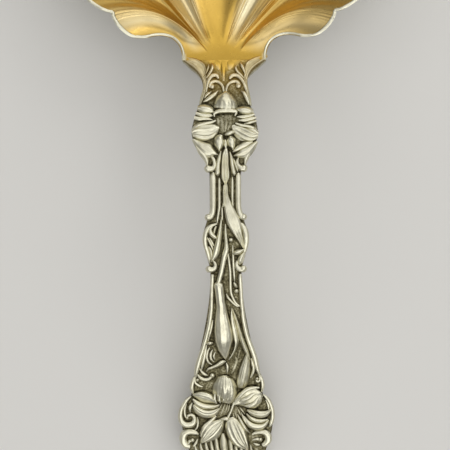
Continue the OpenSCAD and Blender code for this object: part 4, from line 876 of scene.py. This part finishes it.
def rayGrid(withRim):
    table = np.array(bowlRays, float).T
    rays = lobeNumbers()
    ray = np.abs(rays)
    angle, heel, bendX, bendY = (np.interp(ray, table[0], column) for column in table[1:])
    angle = np.radians(angle)
    power = bowlGrid["rimPower"] + bowlGrid["rimPowerSwing"] * np.cos(angle)
    reach = (np.abs(np.sin(angle)) / halfAcross) ** power + (np.abs(np.cos(angle)) / halfAlong) ** power
    outward = np.stack([np.sin(angle), -np.cos(angle)], 1)
    share = ray + 0.5 - np.floor(ray + 0.5)
    swell = (bowlSizes["scallop"] * np.sin(math.pi * share) ** bowlGrid["lobeFullness"])[:, None]
    start = np.stack([heel * bowlSizes["shoulderWidth"] / 2, 0 * ray], 1)
    bend = np.stack([bendX * bowlSizes["width"] / 2, bendY * halfAlong], 1)
    stop = np.array([0, bowlMiddle]) + (reach ** (-1 / power))[:, None] * outward
    rim = (bowlSizes["bareRim"] / (2 * np.linalg.norm(stop + swell * outward - bend, axis=1)))[:, None]
    s = np.linspace(0, 1, bowlGrid["raySteps"])[None, :] ** bowlGrid["heelCrowding"] * (1 - rim)
    if withRim:
        steps = np.arange(1, bowlGrid["rimSteps"] + 1) / bowlGrid["rimSteps"]
        s = np.concatenate([s, 1 - rim * (1 - steps)], 1)
    corner = np.clip((ray - bowlGrid["cornerFrom"]) / (edgeRay - bowlGrid["cornerFrom"]), 0, 1)
    s = s * (1 - bowlGrid["cornerRound"] * corner ** 3)[:, None]
    curve = ((1 - s) ** 2, start), (2 * s * (1 - s), bend), (s ** 2, stop), (s ** 4, swell * outward)
    plan = sum(part[..., None] * place[:, None] for part, place in curve)
    x = plan[..., 0] * np.sign(rays)[:, None]
    drift = bowlDrift["across"] * bowlSizes["width"] * (1 - (ray / edgeRay) ** 2)[:, None] ** 2
    x = x - drift * (1 - s) * (1 - np.exp(-s / bowlDrift["start"]))
    x = np.clip(x, *(bowlGrid["within"] * side[0] / mm for side in cadBounds))  # no wider than the solids
    return x, plan[..., 1], s, np.repeat(share[:, None], s.shape[1], 1)


# Raises a double ridge between the flutes: its height grows along each ray
flutes = {
    "Ridge Height": 2.6 * mm, "Hollow": 2.0, "Ridge Begins": 0.06, "Ridge Full": 0.34,
    "Bead Height": 0.4 * mm, "Bead Width": 0.26, "Groove Depth": 0.45 * mm, "Groove Width": 0.09,
    "Bead Begins": 4.4 * mm, "Bead Full": 6.4 * mm,
    "Line Spacing": 0.11, "Line Reach": 0.26, "Line Height": 0.09 * mm,
}
# The fine lines stand closer in the wide outer lobes, and the middle panel is too far from any to show one
fineLines = {"outer": 2.4, "middleOff": 9}


def makeFluteTree():
    tree, start = newTree("bowl flutes", flutes)
    share, lineWay = named(tree, "lobeShare"), named(tree, "lineWay")
    near = calc(tree, "MINIMUM", share, calc(tree, "SUBTRACT", 1.0, share))

    def bell(away, width):  # 1 where away is nothing, falling off to each side
        part = calc(tree, "DIVIDE", away, (start, width))
        return calc(tree, "EXPONENT", calc(tree, "MULTIPLY", calc(tree, "MULTIPLY", part, part), -1.0))

    def grown(what, way, begins, full):  # what, growing from one place on the way to another
        fade = remap(tree, named(tree, way), (start, begins), (start, full), 0, 1,
                     interpolation_type="SMOOTHSTEP")
        return calc(tree, "MULTIPLY", what, fade)

    # each flute is a round hollow between two ridges, and each ridge carries a bead split by a groove
    hollow = calc(tree, "POWER", calc(tree, "MULTIPLY_ADD", near, -2.0, 1.0), (start, "Hollow"))
    slope = calc(tree, "MULTIPLY", hollow, (start, "Ridge Height"))
    bead = calc(tree, "MULTIPLY", bell(near, "Bead Width"), (start, "Bead Height"))
    groove = calc(tree, "MULTIPLY", bell(near, "Groove Width"), (start, "Groove Depth"))
    # fine lines run beside each ridge and die out towards the hollow
    count = calc(tree, "DIVIDE", lineWay, (start, "Line Spacing"))
    turns = calc(tree, "MULTIPLY_ADD", count, 2 * math.pi, math.pi)
    thread = calc(tree, "MULTIPLY", calc(tree, "COSINE", turns), bell(lineWay, "Line Reach"))
    line = calc(tree, "MULTIPLY_ADD", thread, (start, "Line Height"), bead)
    pair = grown(calc(tree, "SUBTRACT", line, groove), "fromHeel", "Bead Begins", "Bead Full")
    lift = calc(tree, "ADD", grown(slope, "along", "Ridge Begins", "Ridge Full"), pair)
    up = addNode(tree, "ShaderNodeCombineXYZ", Z=lift)
    raised = addNode(tree, "GeometryNodeSetPosition", Geometry=(start, "Geometry"), Offset=up)
    return endTree(tree, start, raised)


fluteTree = makeFluteTree()


def shellShape(x, y, z, top, bottom):
    # closes two equal grids of points, over each other, into a shell
    rows, cols = x.shape
    grids = [np.stack([x, y + shoulderY, z - deep], -1) for deep in (top, bottom)]
    verts = np.concatenate(grids).reshape(-1, 3) * mm
    at = np.arange(rows * cols).reshape(rows, cols)
    a, b, c, e = (corner.reshape(-1) for corner in (at[:-1, :-1], at[1:, :-1], at[1:, 1:], at[:-1, 1:]))
    under = rows * cols
    faces = np.concatenate([np.stack([a, b, c, e], 1), np.stack([a, e, c, b], 1) + under])
    loop = np.concatenate([at[:-1, 0], at[-1, :-1], at[:0:-1, -1], at[0, :0:-1]])
    after = np.roll(loop, -1)
    sides = np.stack([loop, loop + under, after + under, after], 1)
    return verts, np.concatenate([faces, sides]).tolist()


def makeShell(name, withRim, top, bottom, material):
    ends = slice(None) if withRim else slice(1, -1)  # the lining stops short of the bowl's sides
    x, y, s, share = (grid[ends] for grid in rayGrid(withRim))
    z = dishHeight(x, y)
    if withRim:  # the bare rim is hammered flat, with a slight crown
        n = bowlGrid["rimSteps"]
        crown = bowlGrid["rimCrown"] * np.sin(math.pi * np.arange(1, n + 1) / n)
        z[:, -n:] = z[:, -n - 1:-n] + bowlSizes["gilt"] + crown
    obj = newObject(name, *shellShape(x, y, z, top, bottom))
    ray = np.abs(lobeNumbers())[ends, None]
    lineWay = np.minimum(share, 1 - share) * np.where(ray > lastNotch, fineLines["outer"], 1)
    lineWay = lineWay + np.where(ray < firstNotch, fineLines["middleOff"], 0)
    for label, values in (("lobeShare", share), ("along", s), ("fromHeel", y * mm), ("lineWay", lineWay)):
        setAttribute(obj, label, np.stack([values, values]))
    applyTree(obj, fluteTree, {**flutes, "Material": material})
    verts = meshShape(obj.data)[0]
    verts[:, 2] = np.maximum(verts[:, 2], 0)  # the worn flat that the bowl rests on
    obj.data.vertices.foreach_set("co", verts.reshape(-1))
    finishNormals(obj.data)
    return obj, s


# Rolled edge of the bowl, from shoulder to shoulder round all the lobes
rolledEdge = {
    "half": 0.4, "share": 0.8, "inset": 0.43, "sunk": 0.16, "spacing": 0.35, "easing": 0.9, "easeReach": 2.2,
}


def edgeShape(verts, rows, cols):
    face = verts[:rows * cols].reshape(rows, cols, 3) / mm
    way = np.concatenate([face[0, 1:], face[1:-1, -1], face[-1, :0:-1]])
    # the edge runs smoothly round the two corners where the rim meets the shoulder's sides
    run = np.concatenate([[0], np.cumsum(np.linalg.norm(np.diff(way, axis=0), axis=1))])
    pull = np.exp(-((run[:, None] - run) / rolledEdge["easing"]) ** 2) * np.gradient(run)
    soft = pull @ way / pull.sum(1)[:, None]
    for corner in (cols - 2, cols + rows - 3):
        way = way + np.exp(-((run - run[corner]) / rolledEdge["easeReach"]) ** 4)[:, None] * (soft - way)
    ahead = np.gradient(way, axis=0)
    ahead /= np.linalg.norm(ahead[:, :2], axis=1)[:, None]
    inward = np.stack([ahead[:, 1], -ahead[:, 0], 0 * ahead[:, 0]], 1)
    way = way + rolledEdge["inset"] * inward - np.array([0, 0, rolledEdge["sunk"]])
    path = [(point * mm, rolledEdge["half"]) for point in way]
    return sweep([path], rolledEdge["share"], rolledEdge["spacing"] * mm)


backDepth = bowlSizes["gilt"] + bowlSizes["sheet"]
bowlObject, bowlAlong = makeShell("bowl", True, bowlSizes["gilt"], backDepth, silver)
shell = meshShape(bowlObject.data)
rolled = edgeShape(shell[0], *bowlAlong.shape)
bpy.data.meshes.remove(bowlObject.data)
bowlObject = newObject("bowl", *joinShapes([shell, rolled]), silver)
liningObject = makeShell("giltLining", False, 0, bowlSizes["gilt"], gilt)[0]

# The gilding is rubbed thin in places (listed from left to right as ray and wear), along the rim and
# at the shoulders; across the flutes the wear is set higher where the light falls, as a painted highlight
wearAndSheen = {
    "rays": [(-3.1, 0.05), (-2.86, 0.12), (-2.7, 0.55), (-2.57, 0.4), (-2.4, 0.12), (-1.6, 0.12), (-1.4, 0.5),
             (-0.62, 0.55), (-0.42, 0.05), (0.42, 0.05), (0.62, 0.6), (0.85, 0.85), (1.4, 0.5), (1.6, 0.12),
             (2.4, 0.12), (2.6, 0.25), (2.8, 0.35), (3.1, 0.15)],
    "from": 0.06, "full": 0.2, "rim": 0.6, "rimFrom": 0.97, "tipAcross": 9.3, "tipFade": 0.6, "tipLength": 2,
}


def rubAndSheenPattern():
    x, y, s, _ = (grid[1:-1] for grid in rayGrid(False))
    # silvery patches across the flutes: wear together with a painted highlight on the lit lobes
    flute = np.interp(lobeNumbers()[1:-1], *zip(*wearAndSheen["rays"]))[:, None]
    values = flute * np.clip((s - wearAndSheen["from"]) / (wearAndSheen["full"] - wearAndSheen["from"]), 0, 1)
    values += wearAndSheen["rim"] * np.clip((s - wearAndSheen["rimFrom"]) / (1 - wearAndSheen["rimFrom"]), 0, 1)
    tips = np.clip((np.abs(x) - wearAndSheen["tipAcross"]) / wearAndSheen["tipFade"], 0, 1)
    return np.clip(values + tips * np.clip(wearAndSheen["tipLength"] - y, 0, 1), 0, 1)


setAttribute(liningObject, "worn", np.stack([rubAndSheenPattern()] * 2))
print("bowl raised")

# Tongue of the handle under the heel
heelDrop = {"length": 12, "width": 9, "thin": 0.5, "along": 40, "across": 30, "gap": 0.04, "taper": 0.98}


def dropShape():
    t = np.linspace(0, 1, heelDrop["along"])[None, :]
    u = np.linspace(-1, 1, heelDrop["across"])[:, None]
    x = u * heelDrop["width"] / 2 * np.sqrt(1 - heelDrop["taper"] * t * t)
    y = t * heelDrop["length"] + 0 * u
    most = handleSizes["neckThickness"] - backDepth
    deep = heelDrop["thin"] + (most - heelDrop["thin"]) * (1 - t) * (1 - u * u)
    return shellShape(x, y, dishHeight(x, y) - backDepth - heelDrop["gap"], 0, deep)


dropObject = newObject("heelDrop", *dropShape(), silver)

# Relief: how far each point stands above or below its surroundings, found from a height map of the whole
# handle. The silver darkens where it is low, as dark sulphide together with painted shade in creases and
# hollows, and lightens where it stands above its surroundings, as polish together with a painted highlight.
reliefMap = {
    "step": 0.12, "fine": 0.28, "broad": 0.8, "half": 14.0, "from": -2.0, "to": 110.5, "lowest": -0.6,
    "lookFrom": 60, "ground": 0.25, "raised": 0.82, "raisedHeight": 0.3, "creviceOxideAndShade": 0.8, "hollow": 0.11,
    "crest": 0.15, "back": 0.62, "rim": 0.95, "sides": 0.6, "sidesBelow": -0.5,
}
# The gold wash runs out over the crest, furthest along the middle: border is how far down it comes.
# Near the bowl a faint gold tint fades out along the handle: traces of gilding together with a painted
# reflection of the gilt bowl
gilding = {
    "middle": -0.2, "across": [0, 2, 4, 7, 10], "border": [2.4, 1.6, 0.2, -0.7, -1.2], "fade": 2.2,
    "tint": 0.26, "tintEnd": 11.0, "tintFade": 6,
}
# On the tongue it wears off from the bowl outwards, later along the middle
tongueWear = {"half": 1, "middleFrom": 3, "sidesFrom": 1, "run": 4}


def makeReliefMap():
    verts, faces = joinShapes([meshShape(obj.data) for obj, _ in ornaments])
    hit = BVHTree.FromPolygons([tuple(v) for v in verts], faces)
    xs = np.arange(-reliefMap["half"], reliefMap["half"], reliefMap["step"])
    ds = np.arange(reliefMap["from"], reliefMap["to"], reliefMap["step"])
    base = faceHeight(ds)
    heights = np.full((len(ds), len(xs)), reliefMap["lowest"])
    above, down = reliefMap["lookFrom"] * mm, Vector((0, 0, -1))
    for i, d in enumerate(ds):
        for j, x in enumerate(xs):
            place = hit.ray_cast(Vector((x * mm, (shoulderY - d) * mm, above)), down)[0]
            if place:
                heights[i, j] = max(place.z / mm - base[i], reliefMap["lowest"])

    def softened(size):
        reach = int(3 * size / reliefMap["step"])
        kernel = np.exp(-0.5 * (np.arange(-reach, reach + 1) * reliefMap["step"] / size) ** 2)
        kernel /= kernel.sum()

        def spread(row):
            return np.convolve(np.pad(row, reach, "edge"), kernel, "valid")

        return np.apply_along_axis(spread, 0, np.apply_along_axis(spread, 1, heights))

    return xs, ds, softened(reliefMap["fine"]), softened(reliefMap["broad"])


def sampleMap(grid, across, down):
    # the map's value between its points
    j, i = np.floor(across).astype(int), np.floor(down).astype(int)
    b, a = across - j, down - i
    upper = (1 - b) * grid[i, j] + b * grid[i, j + 1]
    lower = (1 - b) * grid[i + 1, j] + b * grid[i + 1, j + 1]
    return (1 - a) * upper + a * lower


def setRelief(obj, xs, ds, fine, broad):
    x, y, z = meshShape(obj.data)[0].T / mm
    d = shoulderY - y
    h = z - faceHeight(d)
    down = np.clip((d - ds[0]) / reliefMap["step"], 0, len(ds) - 1.01)
    across = np.clip((x - xs[0]) / reliefMap["step"], 0, len(xs) - 1.01)
    near, around = sampleMap(fine, across, down), sampleMap(broad, across, down)
    rise = np.clip(h / reliefMap["raisedHeight"], 0, 1)
    level = reliefMap["ground"] + (reliefMap["raised"] - reliefMap["ground"]) * rise * rise * (3 - 2 * rise)
    # painted shade with dark sulphide below the near and broad surroundings, painted highlight with polish
    # above them
    level -= reliefMap["creviceOxideAndShade"] * np.maximum(0, near - h) + reliefMap["hollow"] * np.maximum(0, around - h)
    level += reliefMap["crest"] * np.maximum(0, h - around) - dimmed.get(obj.name, 0)
    under = h < reliefMap["sidesBelow"]
    setAttribute(obj, "relief", np.where(under, reliefMap["sides"], np.clip(level, 0, 1)))
    fromMiddle = np.abs(x - gilding["middle"])
    border = np.interp(fromMiddle, gilding["across"], gilding["border"])
    gild = np.clip((border - d) / gilding["fade"] + 0.5, 0, 1)
    # painted reflection of the gilt bowl, with traces of gilding: a faint gold tint that fades away from the
    # bowl
    gild += gilding["tint"] * np.clip((gilding["tintEnd"] - d) / gilding["tintFade"], 0, 1)
    setAttribute(obj, "giltAndGoldReflection", np.where(under, 0, np.clip(gild, 0, 1)))
    if obj.data.materials[0] == gilt:  # the tongue
        begins = np.where(fromMiddle < tongueWear["half"], tongueWear["middleFrom"], tongueWear["sidesFrom"])
        setAttribute(obj, "worn", np.clip((d - begins) / tongueWear["run"], 0, 1))


reliefData = makeReliefMap()
for obj, _ in ornaments:
    setRelief(obj, *reliefData)
sheetLevel = np.full(bowlAlong.shape, reliefMap["back"])
sheetLevel[:, -bowlGrid["rimSteps"]:] = reliefMap["rim"]
edgeLevel = np.full(len(rolled[0]), reliefMap["rim"])
setAttribute(bowlObject, "relief", np.concatenate([sheetLevel.reshape(-1)] * 2 + [edgeLevel]))
setAttribute(dropObject, "relief", np.full(len(dropObject.data.vertices), reliefMap["back"]))
print("relief measured")

for obj, node in ornaments + [(bowlObject, "bowl"), (liningObject, "gilt_lining"), (dropObject, "heel_drop")]:
    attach(obj, "root")
    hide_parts(node)

# Pale floor, soft light from above and all round, long lens straight down
stageLook = {
    "floor": "#D9D7D2", "floorRough": 0.8, "floorHalf": 2, "floorLevel": -0.0002,
    "zenith": 0.62, "horizon": 0.14,
}
corners = np.array([(-1, -1, 0), (1, -1, 0), (1, 1, 0), (-1, 1, 0)]) * stageLook["floorHalf"]
floor = newObject("floor", corners + np.array([0, 0, stageLook["floorLevel"]]), [(0, 1, 2, 3)])
card = bpy.data.materials.new("Pale card")
card.use_nodes = True
cardShader = card.node_tree.nodes["Principled BSDF"]
cardShader.inputs["Base Color"].default_value = linear(stageLook["floor"])
cardShader.inputs["Roughness"].default_value = stageLook["floorRough"]
floor.data.materials.append(card)

# a white dome that darkens towards the horizon, so that steep silver looks dark
world = bpy.data.worlds.new("studio")
bpy.context.scene.world = world
world.use_nodes = True
sky = world.node_tree
upward = addNode(sky, "ShaderNodeSeparateXYZ", Vector=(addNode(sky, "ShaderNodeTexCoord"), "Generated"))
fall = remap(sky, (upward, "Z"), 0, 1, stageLook["horizon"], stageLook["zenith"])
sky.nodes["Background"].inputs["Color"].default_value = (1, 1, 1, 1)
sky.links.new(fall.outputs[0], sky.nodes["Background"].inputs["Strength"])

lampTarget = Vector((0, -0.03, 0))
lamps = [  # name, place, width, height, brightness
    ("overhead", (0.1, 0.1, 1.9), 1.5, 1.5, 0.6), ("behind the bowl", (0.4, 1.65, 0.95), 2.4, 1.2, 1.0),
    ("right", (1.5, 0.15, 1.35), 1.3, 1.3, 0.85), ("left", (-1.5, 0.3, 1.2), 0.8, 0.8, 0.85),
    ("front", (0.3, -1.25, 1.35), 2.3, 1.0, 1.25), ("right behind", (1.35, 1.35, 1.3), 0.7, 0.7, 1.5)]
for name, place, wide, tall, bright in lamps:
    lamp = bpy.data.lights.new(name, "AREA")
    lamp.shape = "RECTANGLE"
    lamp.size, lamp.size_y = wide, tall
    lamp.energy = bright * math.pi * wide * tall
    obj = bpy.data.objects.new(name, lamp)
    obj.location = place
    obj.rotation_euler = (lampTarget - Vector(place)).to_track_quat("-Z", "Y").to_euler()
    bpy.context.collection.objects.link(obj)

lens = {
    "distance": 2.2, "clipEnd": 20, "sensor": 36, "frameWidth": 112.5, "centreDown": 41.25, "faceLevel": 18,
}
camera = bpy.data.cameras.new("camera")
camera.sensor_width = lens["sensor"]
camera.lens = lens["sensor"] * (lens["distance"] - lens["faceLevel"] * mm) / (lens["frameWidth"] * mm)
camera.clip_end = lens["clipEnd"]
cameraObject = bpy.data.objects.new("camera", camera)
centre = (straighten(0, lens["centreDown"]) * mm, (shoulderY - lens["centreDown"]) * mm, lens["distance"])
cameraObject.location = centre
cameraObject.rotation_euler = (0, 0, -patternTurn["lean"])
bpy.context.collection.objects.link(cameraObject)
bpy.context.scene.camera = cameraObject
bpy.context.scene.view_settings.view_transform = "Standard"
print("stage set")
